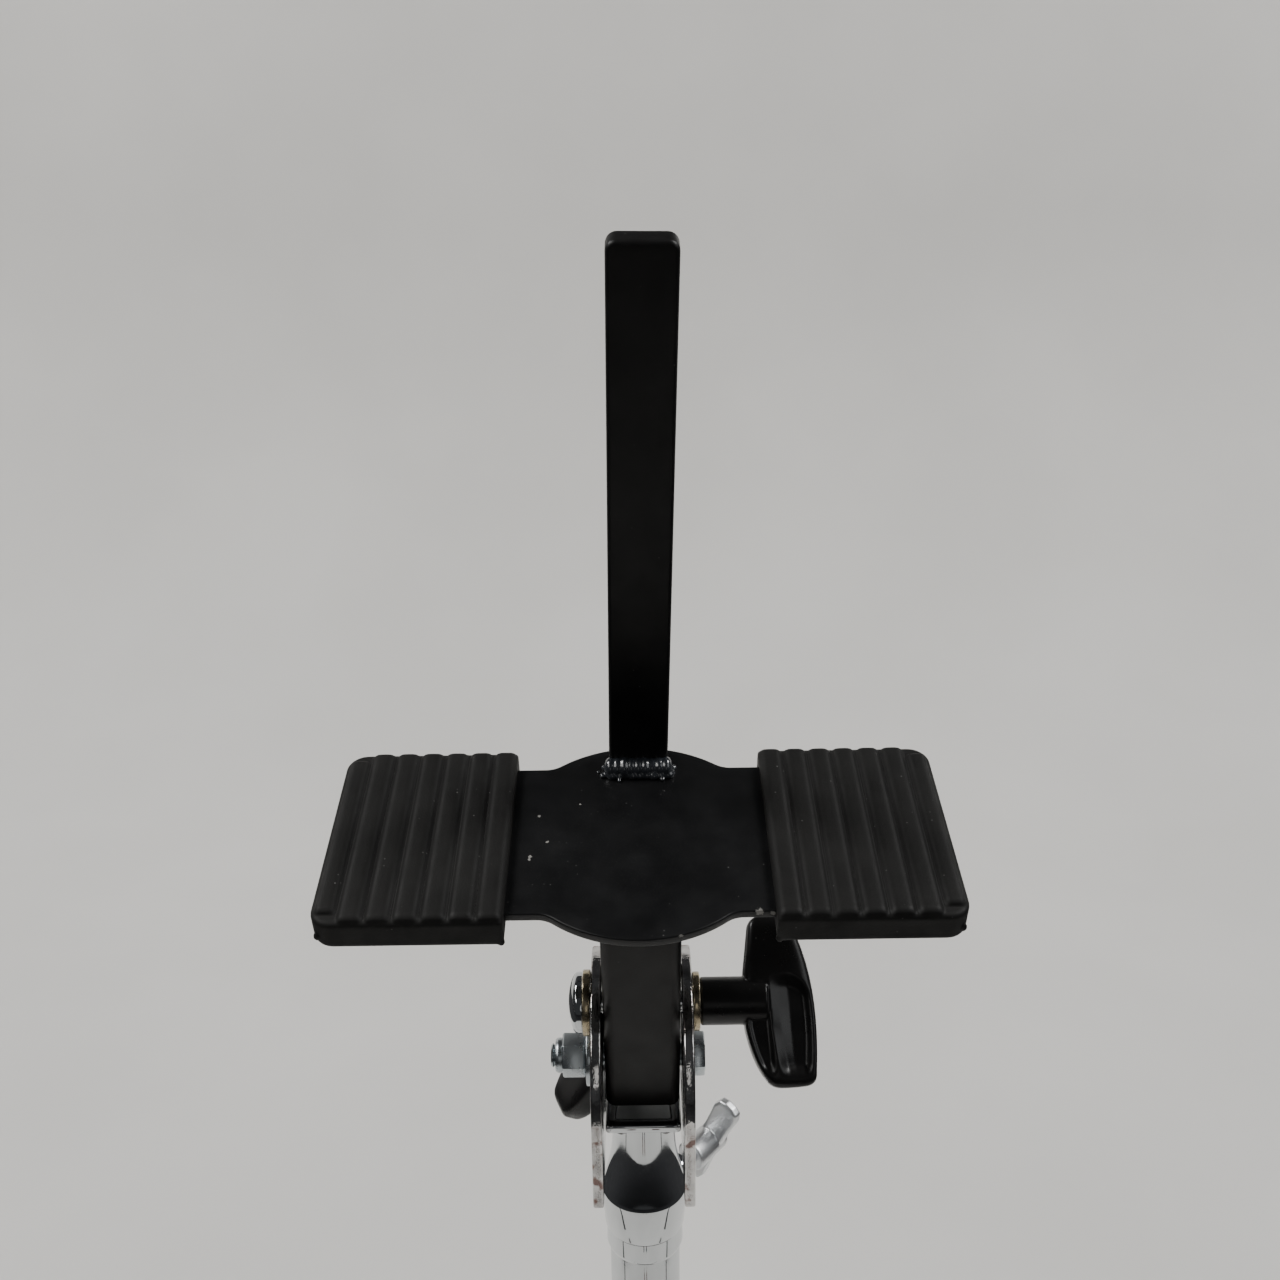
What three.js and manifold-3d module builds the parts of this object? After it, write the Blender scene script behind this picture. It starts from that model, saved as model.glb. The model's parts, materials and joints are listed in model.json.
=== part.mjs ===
// Tilting saxophone stand: rubber-padded cradle on a quadrant tilter, telescopic tube and folding tripod.
// Millimetres, +Z up, +X to the right, -Y to the front. The origin is on the floor under the tube.
import * as THREE from 'three';
import { mergeVertices } from 'three/addons/utils/BufferGeometryUtils.js';
import Module from 'manifold-3d';

const wasm = await Module();
wasm.setup();

// ---- general
const GAP = 0.3;              // clearance between neighbouring pieces
const ROUND = 28;             // facets round a full circle
const TUBE_ROUND = 32;        // and round the tubes and the collars on them
const PIN_ROUND = 12;         // and round the small pins and their holes

// ---- cradle, in its own frame: origin on the tilt pivot, +Z along the block
const REST_TILT = 16;         // degrees the cradle leans forward at rest
const PLATE_TOP = 105;
const PLATE_THICK = 3;
const DISC_R = 40.4;
const ARM_HALF = 30.4;        // half the front-to-back depth of an arm
const ARM_END = 87;
const NECK_FILLET = 8;
const BAR_WIDTH = 18.6;
const BAR_THICK = 8;
const BAR_FRONT = 30;
const BAR_HEIGHT = 170;
const BAR_LEAN = 1;            // the bar is welded this far out of square, to the right at its top
const SLEEVE_IN = 38.3;
const SLEEVE_OUT = 92.5;
const SLEEVE_HALF = 35.8;
const SLEEVE_BOTTOM = 97.8;
const SLEEVE_TOP = 109.2;
const RIB_COUNT = 7;
const GROOVE_R = 1.1;
const BLOCK = 25.4;           // outer side of the square tube
const BLOCK_WALL = 2.2;
const BLOCK_LOW = -11.5;
const CLAMP_R = 28;           // pivot to clamp bolt
const KNOB_TURN = -56;        // T-handle leans back from upright, degrees
const BOLT_R = 4;             // M8

// ---- tilter bracket, pivot frame: origin on the tilt pivot, +Z up
const PIVOT_Z = 600;          // height of the tilt pivot above the floor
const SIDE_IN = 13.3;
const SIDE_THICK = 3.5;
const SIDE_R = 37.6;
const SIDE_REAR = 14;
const SIDE_LOW = -32.6;
const SLOT_BACK = -12;        // clamp bolt's reach behind upright, degrees
const SLOT_FRONT = 75;        // and in front of upright
const WEB_TOP = -18;
const WEB_THICK = 3;
const WEB_HALF = 15.2;
const NECK_R = 11.1;
const NECK_LOW = -44.9;
const RIM_R = 15.4;
const RIM_Z = -55.9;
const SOCKET_LOW = -71.3;
const SOCKET_LOW_R = 14.3;
const LOCK_Z = -35;           // rear T-screw
const LOCK_AZ = 110;          // its direction, degrees from +X
const LOCK_TURN = 30;         // how far its handle is turned from upright
const LOCK_BOSS = 22;
const WING_Z = -63;           // wing screw that grips the tube
const WING_AZ = 50;
const WING_TURN = 25;
const WING_START = 27;        // its hub starts this far from the tube's axis
const WING_BOSS = 21;

// ---- tubes, floor frame
const TUBE_R = 12.7;
const TUBE_WALL = 1.4;
const SPIGOT_R = 9.5;
const UPPER_LOW = 235;
const LOWER_R = 14.3;
const LOWER_BORE = 13;
const LOWER_LOW = 5;            // the cap under it just meets the floor
const LOWER_TOP = 420;
const CLAMP_HIGH = 26;        // height of the height clamp
const CLAMP_OUT = 19;

// ---- tripod, floor frame
const LEG_ANGLE = 60;         // degrees from vertical at rest
const LINK = 120;             // leg pivot to brace rivet, and brace length
const LEG_LONG = 272;
const HINGE_R = 27;           // distance of the hinges from the tube's axis
const FOOT_HUB_Z = 28;
const LEG_HUB_Z = FOOT_HUB_Z + 2 * LINK * Math.cos(rad(LEG_ANGLE));
const LEG_THICK = 5;
const LEG_WIDE = 16;
const BRACE_THICK = 3;
const BRACE_WIDE = 13;
const BRACE_SIDE = LEG_THICK / 2 + 0.4 + BRACE_THICK / 2;
const LUG = 3;
const HUB_R = 18.5;
const PIN_R = 2.7;
const PIN_SLACK = 4.8;        // play of a brace pin in its upright slot
const LEG_AZIMUTHS = [90, 210, 330];

function rad(degrees) {
  return degrees * Math.PI / 180;
}

// ---- closed solids and their booleans
function solid(geometry) {
  const bare = new THREE.BufferGeometry();
  bare.setAttribute('position', geometry.getAttribute('position').clone());
  if (geometry.index) bare.setIndex(geometry.index.clone());
  const merged = mergeVertices(bare, 1e-4);
  return new wasm.Manifold(new wasm.Mesh({
    numProp: 3,
    vertProperties: new Float32Array(merged.getAttribute('position').array),
    triVerts: new Uint32Array(merged.index.array),
  }));
}

function surface(body) {
  const mesh = body.getMesh();
  const geometry = new THREE.BufferGeometry();
  geometry.setAttribute('position', new THREE.BufferAttribute(new Float32Array(mesh.vertProperties), 3));
  geometry.setIndex(new THREE.BufferAttribute(new Uint32Array(mesh.triVerts), 1));
  return geometry;
}

// A cylinder along +Z from z0 to z1.
function rod(radius, z0, z1, facets = ROUND) {
  const geometry = new THREE.CylinderGeometry(radius, radius, z1 - z0, facets);
  geometry.rotateX(Math.PI / 2);
  geometry.translate(0, 0, (z0 + z1) / 2);
  return solid(geometry);
}

function rodX(radius, x0, x1, facets = ROUND) {
  return rod(radius, x0, x1, facets).rotate([0, 90, 0]);
}

function rodY(radius, y0, y1, facets = ROUND) {
  return rod(radius, -y1, -y0, facets).rotate([90, 0, 0]);
}

function block(x0, x1, y0, y1, z0, z1) {
  const geometry = new THREE.BoxGeometry(x1 - x0, y1 - y0, z1 - z0);
  geometry.translate((x0 + x1) / 2, (y0 + y1) / 2, (z0 + z1) / 2);
  return solid(geometry);
}

// A closed profile of [radius, z] pairs turned about Z.
function turned(profile, facets = ROUND) {
  const points = profile.map(([r, z]) => new THREE.Vector2(r, z));
  const geometry = new THREE.LatheGeometry(points, facets);
  geometry.rotateX(Math.PI / 2);
  return solid(geometry);
}

function ring(inner, outer, z0, z1, facets = ROUND) {
  return turned([[inner, z0], [outer, z0], [outer, z1], [inner, z1], [inner, z0]], facets);
}

// A flat outline raised along +Z, optionally with a bevel kept inside its height.
function raised(shape, z0, z1, bevel = 0, curve = 8) {
  const geometry = new THREE.ExtrudeGeometry(shape, {
    depth: z1 - z0 - 2 * bevel,
    bevelEnabled: bevel > 0,
    bevelSize: bevel,
    bevelThickness: bevel,
    bevelOffset: -bevel,
    bevelSegments: bevel > 1 ? 2 : 1,
    curveSegments: curve,
  });
  geometry.translate(0, 0, z0 + bevel);
  return solid(geometry);
}

function roundedBox(x0, x1, y0, y1, r) {
  const s = new THREE.Shape();
  s.moveTo(x0 + r, y0);
  s.lineTo(x1 - r, y0);
  s.absarc(x1 - r, y0 + r, r, -Math.PI / 2, 0, false);
  s.lineTo(x1, y1 - r);
  s.absarc(x1 - r, y1 - r, r, 0, Math.PI / 2, false);
  s.lineTo(x0 + r, y1);
  s.absarc(x0 + r, y1 - r, r, Math.PI / 2, Math.PI, false);
  s.lineTo(x0, y0 + r);
  s.absarc(x0 + r, y0 + r, r, Math.PI, 1.5 * Math.PI, false);
  return s;
}

// A hexagonal prism along X, measured across its flats.
function hexX(flats, x0, x1) {
  return rodX(flats / Math.sqrt(3), x0, x1, 6);
}

// Stand an outline drawn as (y, z) upright, so that its thickness runs along +X from x0.
function onSide(body, x0) {
  return body.rotate([90, 0, 90]).translate([x0, 0, 0]);
}

// ---- materials
function paint(colour, roughness, metalness) {
  return new THREE.MeshStandardMaterial({ color: colour, roughness, metalness });
}

const BLACK = [0x17181a, 0.42, 0.1];
const CHROME = [0xc6cacd, 0.14, 1];
const RUBBER = [0x1f1f20, 0.88, 0];
const ZINC = [0xa9b2b5, 0.36, 1];
const BRASS = [0xa98f58, 0.34, 1];
const PLASTIC = [0x121214, 0.35, 0];
const NYLON = [0x2a2a2c, 0.55, 0];

// ---- cradle
function cradlePlate() {
  const out = Math.sqrt((DISC_R + NECK_FILLET) ** 2 - (ARM_HALF + NECK_FILLET) ** 2);
  const turn = Math.atan2(ARM_HALF + NECK_FILLET, out);
  const y = ARM_HALF + NECK_FILLET;
  const corner = 5;
  const s = new THREE.Shape();
  s.moveTo(ARM_END - corner, -ARM_HALF);
  s.absarc(ARM_END - corner, -ARM_HALF + corner, corner, -Math.PI / 2, 0, false);
  s.absarc(ARM_END - corner, ARM_HALF - corner, corner, 0, Math.PI / 2, false);
  s.absarc(out, y, NECK_FILLET, -Math.PI / 2, turn - Math.PI, true);
  s.absarc(0, 0, DISC_R, turn, Math.PI - turn, false);
  s.absarc(-out, y, NECK_FILLET, -turn, -Math.PI / 2, true);
  s.absarc(-ARM_END + corner, ARM_HALF - corner, corner, Math.PI / 2, Math.PI, false);
  s.absarc(-ARM_END + corner, -ARM_HALF + corner, corner, Math.PI, 1.5 * Math.PI, false);
  s.absarc(-out, -y, NECK_FILLET, Math.PI / 2, turn, true);
  s.absarc(0, 0, DISC_R, Math.PI + turn, 2 * Math.PI - turn, false);
  s.absarc(out, -y, NECK_FILLET, Math.PI - turn, Math.PI / 2, true);
  return raised(s, PLATE_TOP - PLATE_THICK, PLATE_TOP, 0, 10);
}

function uprightBar() {
  const r = 2.5;
  const w = BAR_WIDTH / 2;
  const s = new THREE.Shape();
  s.moveTo(-w, PLATE_TOP + GAP);
  s.lineTo(w, PLATE_TOP + GAP);
  s.lineTo(w, PLATE_TOP + BAR_HEIGHT - r);
  s.absarc(w - r, PLATE_TOP + BAR_HEIGHT - r, r, 0, Math.PI / 2, false);
  s.lineTo(-w + r, PLATE_TOP + BAR_HEIGHT);
  s.absarc(-w + r, PLATE_TOP + BAR_HEIGHT - r, r, Math.PI / 2, Math.PI, false);
  const bar = raised(s, 0, BAR_THICK, 0.9, 5);
  const foot = PLATE_TOP + GAP;
  const leaning = bar.rotate([90, 0, 0]).translate([0, 0, -foot]).rotate([0, BAR_LEAN, 0]);
  return leaning.translate([0, BAR_FRONT + BAR_THICK, foot + GAP / 2]);
}

// Fillet weld along the front foot of the bar.
function uprightWeld() {
  const legs = 4.2;
  const s = new THREE.Shape();
  s.moveTo(0, 0);
  s.lineTo(legs, 0);
  s.quadraticCurveTo(legs * 0.8, legs * 0.8, 0, legs);
  const bead = raised(s, -BAR_WIDTH / 2 - 1, BAR_WIDTH / 2 + 1, 0, 5);
  return bead.rotate([90, 0, -90]).translate([0, BAR_FRONT - GAP, PLATE_TOP + GAP]);
}

// Ribbed rubber sleeve over one arm: side is +1 or -1.
function rubberSleeve(side) {
  const outline = roundedBox(SLEEVE_IN, SLEEVE_OUT, -SLEEVE_HALF, SLEEVE_HALF, 6);
  let body = raised(outline, SLEEVE_BOTTOM, SLEEVE_TOP, 1.6, 5);
  // the mouth end is cut square
  const square = block(SLEEVE_IN, SLEEVE_IN + 8, -SLEEVE_HALF, SLEEVE_HALF, SLEEVE_BOTTOM, SLEEVE_TOP);
  body = body.add(square);
  const low = PLATE_TOP - PLATE_THICK - GAP;
  const half = ARM_HALF + GAP;
  body = body.subtract(block(SLEEVE_IN - 1, ARM_END + GAP, -half, half, low, PLATE_TOP + GAP));
  const pitch = (SLEEVE_OUT - SLEEVE_IN) / RIB_COUNT;
  for (let i = 1; i < RIB_COUNT; i += 1) {
    const groove = rodY(GROOVE_R, -SLEEVE_HALF - 1, SLEEVE_HALF + 1, 8);
    body = body.subtract(groove.translate([SLEEVE_IN + i * pitch, 0, SLEEVE_TOP]));
  }
  return side > 0 ? body : body.mirror([1, 0, 0]);
}

function pivotBlock() {
  const half = BLOCK / 2;
  const top = PLATE_TOP - PLATE_THICK - GAP;
  const inner = half - BLOCK_WALL;
  let body = raised(roundedBox(-half, half, -half, half, 3.6), BLOCK_LOW, top, 0, 5);
  body = body.subtract(raised(roundedBox(-inner, inner, -inner, inner, 1.6), BLOCK_LOW - 1, top + 1, 0, 3));
  const through = half + 1;
  body = body.subtract(rodX(BOLT_R + GAP, -through, through, 24));
  return body.subtract(rodX(BOLT_R + GAP, -through, through, 24).translate([0, 0, CLAMP_R]));
}

function blockPlug() {
  const inner = BLOCK / 2 - BLOCK_WALL - GAP;
  return raised(roundedBox(-inner, inner, -inner, inner, 1.4), BLOCK_LOW, BLOCK_LOW + 4, 0, 3);
}

// Steel tube inside the block that the clamp bolt squeezes against.
function clampSpacer() {
  const half = BLOCK / 2 - BLOCK_WALL - GAP;
  return ring(BOLT_R + GAP, 6.5, -half, half, 24).rotate([0, 90, 0]).translate([0, 0, CLAMP_R]);
}

const SIDE_OUT = SIDE_IN + SIDE_THICK;

function clampBolt() {
  const washer = 2.4;
  const seat = -SIDE_OUT - GAP - washer - GAP;
  const head = 4.6;
  const half = 10;
  const profile = [[0, 0], [half, 0], [half, 1.2], [half * 0.86, 2.9], [half * 0.5, 4.2], [0, head]];
  const dome = turned(profile, 28).rotate([0, -90, 0]).translate([seat, 0, 0]);
  return dome.add(rodX(BOLT_R, seat - 0.5, SIDE_OUT + 17, 24)).translate([0, 0, CLAMP_R]);
}

function clampWasher(side, outer, thick) {
  const x = SIDE_OUT + GAP;
  const disc = ring(BOLT_R + GAP, outer, x, x + thick, 28).rotate([0, 90, 0]);
  return (side > 0 ? disc : disc.mirror([1, 0, 0])).translate([0, 0, CLAMP_R]);
}

// T-handle along +X: hub first, then the crossbar along Z.
function handle(bore, depth) {
  const hub = 16.3;
  const s = new THREE.Shape();
  s.moveTo(14.5, -9);
  s.quadraticCurveTo(16.5, -20, 21, -25.5);
  s.quadraticCurveTo(22.5, -28, 26, -28);
  s.lineTo(34, -27.5);
  s.quadraticCurveTo(37.6, -27, 37.4, -23);
  s.quadraticCurveTo(39.5, 0, 34.5, 16);
  s.quadraticCurveTo(32, 24, 29, 27);
  s.quadraticCurveTo(27, 28.5, 23, 28);
  s.quadraticCurveTo(17, 27.5, 16.5, 24);
  s.lineTo(14.5, 9);
  const cross = raised(s, -6.2, 6.2, 2, 5).rotate([90, 0, 0]);
  const body = cross.add(rodX(7.85, 0, hub + 4, 28));
  return depth > 0 ? body.subtract(rodX(bore, -1, depth, 24)) : body;
}

function tiltKnob() {
  const washer = 2.2;
  const turned = handle(BOLT_R + GAP, 18).rotate([KNOB_TURN, 0, 0]);
  return turned.translate([SIDE_OUT + GAP + washer + GAP, 0, CLAMP_R]);
}

// ---- tilter bracket
function sideOutline() {
  const backTurn = Math.acos(SIDE_REAR / SIDE_R);
  const s = new THREE.Shape();
  s.moveTo(-SIDE_R, SIDE_LOW + 1);
  s.lineTo(-SIDE_R + 1, SIDE_LOW);
  s.lineTo(2, SIDE_LOW);
  s.lineTo(SIDE_REAR, -12);
  s.lineTo(SIDE_REAR, SIDE_R * Math.sin(backTurn));
  s.absarc(0, 0, SIDE_R, backTurn, Math.PI, false);
  return s;
}

// Arc slot that the clamp bolt slides in, as (y, z) about the pivot.
function slotOutline() {
  const half = BOLT_R + 0.35;
  const front = Math.PI / 2 + rad(SLOT_FRONT + 0.5);
  const back = Math.PI / 2 + rad(SLOT_BACK - 0.5);
  const s = new THREE.Shape();
  s.absarc(0, 0, CLAMP_R + half, back, front, false);
  s.absarc(CLAMP_R * Math.cos(front), CLAMP_R * Math.sin(front), half, front, front + Math.PI, false);
  s.absarc(0, 0, CLAMP_R - half, front, back, true);
  s.absarc(CLAMP_R * Math.cos(back), CLAMP_R * Math.sin(back), half, back + Math.PI, back + 2 * Math.PI, false);
  return s;
}

function sidePlate(side) {
  const plate = raised(sideOutline(), 0, SIDE_THICK, 0.5, 20);
  const slot = raised(slotOutline(), -1, SIDE_THICK + 1, 0, 12);
  let body = onSide(plate.subtract(slot), SIDE_IN);
  body = body.subtract(rodX(BOLT_R + GAP, SIDE_IN - 1, SIDE_OUT + 1, 24));
  return side > 0 ? body : body.mirror([1, 0, 0]);
}

function bracketWeb() {
  const half = SIDE_IN - GAP;
  const outline = roundedBox(-half, half, -WEB_HALF, WEB_HALF, 1.5);
  return raised(outline, WEB_TOP - WEB_THICK, WEB_TOP, 0.6, 2);
}

// Points a screw built along +X outwards from the tube's axis.
function aimed(body, azimuth, z) {
  return body.rotate([0, 0, azimuth]).translate([0, 0, z]);
}

// Neck, shoulder and collar in one turned piece, bored for the tube and its spigot.
function headSocket() {
  const top = WEB_TOP - WEB_THICK - GAP;
  const bore = SPIGOT_R + GAP;
  const wide = TUBE_R + GAP;
  const step = RIM_Z - 1.5;
  const profile = [
    [0, top], [NECK_R, top], [NECK_R, NECK_LOW + 10], [NECK_R + 0.5, NECK_LOW + 3],
    [NECK_R + 1.6, NECK_LOW - 3.2], [RIM_R - 1.3, NECK_LOW - 6.6],
    [RIM_R - 0.3, NECK_LOW - 9], [RIM_R, RIM_Z], [RIM_R, RIM_Z - 2], [SOCKET_LOW_R, SOCKET_LOW],
    [wide, SOCKET_LOW], [wide, step], [bore, step], [bore, top - 5], [0, top - 5], [0, top],
  ];
  let body = turned(profile.reverse(), TUBE_ROUND);
  const lock = rodX(6, NECK_R - 2.5, LOCK_BOSS, 24);
  const grip = rodX(6, RIM_R - 1.8, WING_BOSS, 24);
  body = body.add(aimed(lock, LOCK_AZ, LOCK_Z));
  body = body.add(aimed(grip, WING_AZ, WING_Z));
  body = body.subtract(rod(bore, step - 1, top - 5, TUBE_ROUND));
  body = body.subtract(rod(wide, SOCKET_LOW - 1, step, TUBE_ROUND));
  body = body.subtract(aimed(rodX(BOLT_R + GAP, SPIGOT_R, LOCK_BOSS + 1, 24), LOCK_AZ, LOCK_Z));
  return body.subtract(aimed(rodX(3 + GAP, TUBE_R, WING_BOSS + 1, 24), WING_AZ, WING_Z));
}

// Black T-handle on a steel screw that bears on the spigot.
function lockKnob() {
  return handle(BOLT_R + GAP, 12).rotate([LOCK_TURN, 0, 0]).translate([LOCK_BOSS + GAP, 0, 0]);
}

function lockScrew() {
  return rodX(BOLT_R, SPIGOT_R + GAP, LOCK_BOSS + 11, 24);
}

// Chrome wing screw along +X: its tip at x0, its round hub from x1, a flat wing across the hub.
function wingScrew(x0, x1, radius) {
  const half = 22.5;
  const s = new THREE.Shape();
  s.moveTo(-5.5, 0);
  s.quadraticCurveTo(-4.6, 9, -5.3, half - 5);
  s.quadraticCurveTo(-5, half, 0, half);
  s.quadraticCurveTo(5, half, 5.3, half - 5);
  s.quadraticCurveTo(4.6, 9, 5.5, 0);
  s.quadraticCurveTo(4.6, -9, 5.3, 5 - half);
  s.quadraticCurveTo(5, -half, 0, -half);
  s.quadraticCurveTo(-5, -half, -5.3, 5 - half);
  s.quadraticCurveTo(-4.6, -9, -5.5, 0);
  const wing = raised(s, x1 + 11, x1 + 15, 0.6, 4).rotate([90, 0, 0]).rotate([0, 0, 90]);
  return wing.add(rodX(6, x1, x1 + 18, 24)).add(rodX(radius, x0, x1 + 1, 20));
}

function socketScrew() {
  return wingScrew(TUBE_R + GAP, WING_START, 3).rotate([WING_TURN, 0, 0]);
}

function pivotBolt() {
  const head = hexX(13, SIDE_OUT + GAP, SIDE_OUT + GAP + 4.6).rotate([30, 0, 0]);
  return head.add(rodX(BOLT_R, -31.6, SIDE_OUT + 1, 24));
}

function pivotWasher() {
  const x = -SIDE_OUT - GAP;
  return ring(BOLT_R + GAP, 10.3, x - 2.2, x, 28).rotate([0, 90, 0]);
}

function pivotNut() {
  const x = -SIDE_OUT - 2 * GAP - 2.2;
  const body = hexX(13, x - 8.2, x).rotate([30, 0, 0]).add(rodX(5.6, x - 10.4, x - 8, 24));
  return body.subtract(rodX(BOLT_R + GAP, x - 12, x + 1, 24));
}

// ---- tubes
function upperTube() {
  const bore = TUBE_R - TUBE_WALL;
  const top = PIVOT_Z + RIM_Z - 1.5 - GAP;
  return ring(bore, TUBE_R, UPPER_LOW, top, TUBE_ROUND);
}

function tubeSpigot() {
  const inner = TUBE_R - TUBE_WALL - GAP;
  const seat = PIVOT_Z + RIM_Z - 1.5 - GAP;
  const top = PIVOT_Z + WEB_TOP - WEB_THICK - 6;
  const profile = [[0, seat - 25], [inner, seat - 25], [inner, seat], [SPIGOT_R, seat], [SPIGOT_R, top - 1.5],
    [SPIGOT_R - 1.5, top], [0, top]];
  return turned(profile, 32);
}

function stopRing() {
  return ring(TUBE_R + GAP, 14, PIVOT_Z + SOCKET_LOW - GAP - 9.2, PIVOT_Z + SOCKET_LOW - GAP, TUBE_ROUND);
}

// Nylon liner that guides the foot of the upper tube inside the lower one.
function tubeGuide() {
  const bore = TUBE_R - TUBE_WALL - GAP;
  const low = UPPER_LOW - GAP;
  return turned([[0, low - 4], [LOWER_BORE - GAP, low - 4], [LOWER_BORE - GAP, low], [bore, low],
    [bore, low + 14], [0, low + 14]], 32);
}

function lowerTube() {
  return ring(LOWER_BORE, LOWER_R, LOWER_LOW, LOWER_TOP, TUBE_ROUND);
}

const CLAMP_LOW = LOWER_TOP - CLAMP_HIGH + 4;

// Split height clamp: a collar with two ears drawn together by a wing screw.
function heightClamp() {
  const top = CLAMP_LOW + CLAMP_HIGH;
  let body = ring(LOWER_R + GAP, CLAMP_OUT, CLAMP_LOW, top, TUBE_ROUND);
  body = body.add(block(-8.5, 8.5, LOWER_R + 2, 36, CLAMP_LOW + 3, top - 3));
  body = body.subtract(rod(LOWER_R + GAP, CLAMP_LOW - 1, top + 1, TUBE_ROUND));
  body = body.subtract(block(-1.2, 1.2, LOWER_R - 1, 40, CLAMP_LOW - 1, top + 1));
  return body.subtract(rodX(3 + GAP, -12, 12, 20).translate([0, 28, CLAMP_LOW + CLAMP_HIGH / 2]));
}

function heightBush() {
  return turned([[TUBE_R + GAP, LOWER_TOP + GAP], [LOWER_R, LOWER_TOP + GAP], [LOWER_R, CLAMP_LOW + CLAMP_HIGH + GAP],
    [CLAMP_OUT - 1, CLAMP_LOW + CLAMP_HIGH + GAP], [CLAMP_OUT - 2.5, CLAMP_LOW + CLAMP_HIGH + 3.5],
    [TUBE_R + GAP, CLAMP_LOW + CLAMP_HIGH + 3.5], [TUBE_R + GAP, LOWER_TOP + GAP]], TUBE_ROUND);
}

function heightScrew() {
  return wingScrew(-13, 8.5 + GAP, 3).translate([0, 28, CLAMP_LOW + CLAMP_HIGH / 2]);
}

function heightNut() {
  const x = -8.5 - GAP;
  const nut = hexX(10, x - 5, x).subtract(rodX(3 + GAP, x - 6, x + 1, 20));
  return nut.translate([0, 28, CLAMP_LOW + CLAMP_HIGH / 2]);
}

function tubeCap() {
  const inner = LOWER_BORE - GAP;
  return turned([[0, LOWER_LOW - 5], [LOWER_R - 1.5, LOWER_LOW - 5], [LOWER_R, LOWER_LOW - 3.5],
    [LOWER_R, LOWER_LOW - GAP], [inner, LOWER_LOW - GAP], [inner, LOWER_LOW + 12], [0, LOWER_LOW + 12]], 32);
}

// ---- tripod; each leg set is drawn in the plane of +X and Z, then turned to its azimuth
function lugPair(middle, clear, z, high, reach) {
  const inner = clear / 2;
  const pair = [-1, 1].map((side) => {
    const a = middle + side * inner;
    const b = middle + side * (inner + LUG);
    return block(HUB_R - 3, reach, Math.min(a, b), Math.max(a, b), z - high / 2, z + high / 2);
  });
  return pair[0].add(pair[1]);
}

function legHub() {
  const half = 12;
  let body = ring(LOWER_R + GAP, HUB_R, LEG_HUB_Z - half, LEG_HUB_Z + half, TUBE_ROUND);
  for (const azimuth of LEG_AZIMUTHS) {
    let lugs = lugPair(0, LEG_THICK + 0.8, LEG_HUB_Z, 18, HINGE_R + 7);
    lugs = lugs.subtract(rodY(PIN_R + GAP, -9, 9, PIN_ROUND).translate([HINGE_R, 0, LEG_HUB_Z]));
    body = body.add(lugs.rotate([0, 0, azimuth]));
  }
  const screwAt = LEG_AZIMUTHS[0] + 60;
  body = body.add(aimed(rodX(6, LOWER_R + 2, 24, 24), screwAt, LEG_HUB_Z));
  body = body.subtract(rod(LOWER_R + GAP, LEG_HUB_Z - half - 1, LEG_HUB_Z + half + 1, TUBE_ROUND));
  return body.subtract(aimed(rodX(3 + GAP, LOWER_R - 2, 26, 20), screwAt, LEG_HUB_Z));
}

function hubScrew() {
  return aimed(wingScrew(LOWER_R + GAP, 24 + GAP, 3), LEG_AZIMUTHS[0] + 60, LEG_HUB_Z);
}

function footHub() {
  const half = PIN_SLACK + PIN_R + GAP;
  const high = 2 * half + 6;
  let body = ring(LOWER_R + GAP, HUB_R, FOOT_HUB_Z - high / 2, FOOT_HUB_Z + high / 2, TUBE_ROUND);
  for (const azimuth of LEG_AZIMUTHS) {
    let lugs = lugPair(BRACE_SIDE, BRACE_THICK + 0.8, FOOT_HUB_Z, high, HINGE_R + 7);
    const slot = raised(roundedBox(-PIN_R - GAP, PIN_R + GAP, -half, half, PIN_R + GAP - 0.01), -12, 12, 0, 3);
    lugs = lugs.subtract(slot.rotate([90, 0, 0]).translate([HINGE_R, 0, FOOT_HUB_Z]));
    body = body.add(lugs.rotate([0, 0, azimuth]));
  }
  return body.subtract(rod(LOWER_R + GAP, FOOT_HUB_Z - high, FOOT_HUB_Z + high, TUBE_ROUND));
}

// A flat bar with round ends from (0,0) along +X.
function flatBar(long, wide) {
  const s = new THREE.Shape();
  s.absarc(0, 0, wide / 2, Math.PI / 2, 1.5 * Math.PI, false);
  s.absarc(long, 0, wide / 2, -Math.PI / 2, Math.PI / 2, false);
  return s;
}

// Leg direction: +X of the bar turned to point outwards and down.
function alongLeg(body) {
  return body.rotate([90, 0, 0]).rotate([0, 90 - LEG_ANGLE, 0]).translate([HINGE_R, 0, LEG_HUB_Z]);
}

function leg(azimuth) {
  let bar = raised(flatBar(LEG_LONG, LEG_WIDE), -LEG_THICK / 2, LEG_THICK / 2, 0.6, 5);
  bar = bar.subtract(rod(PIN_R + GAP, -6, 6, PIN_ROUND));
  bar = bar.subtract(rod(PIN_R + GAP, -6, 6, PIN_ROUND).translate([LINK, 0, 0]));
  return alongLeg(bar).rotate([0, 0, azimuth]);
}

function legPin(azimuth) {
  const half = LEG_THICK / 2 + 0.4 + LUG + GAP;
  const pin = rodY(PIN_R, -half - 1.5, half + 1.5, PIN_ROUND);
  const heads = rodY(4.6, -half - 1.8, -half, PIN_ROUND).add(rodY(4.6, half, half + 1.8, PIN_ROUND));
  return pin.add(heads).translate([HINGE_R, 0, LEG_HUB_Z]).rotate([0, 0, azimuth]);
}

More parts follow.
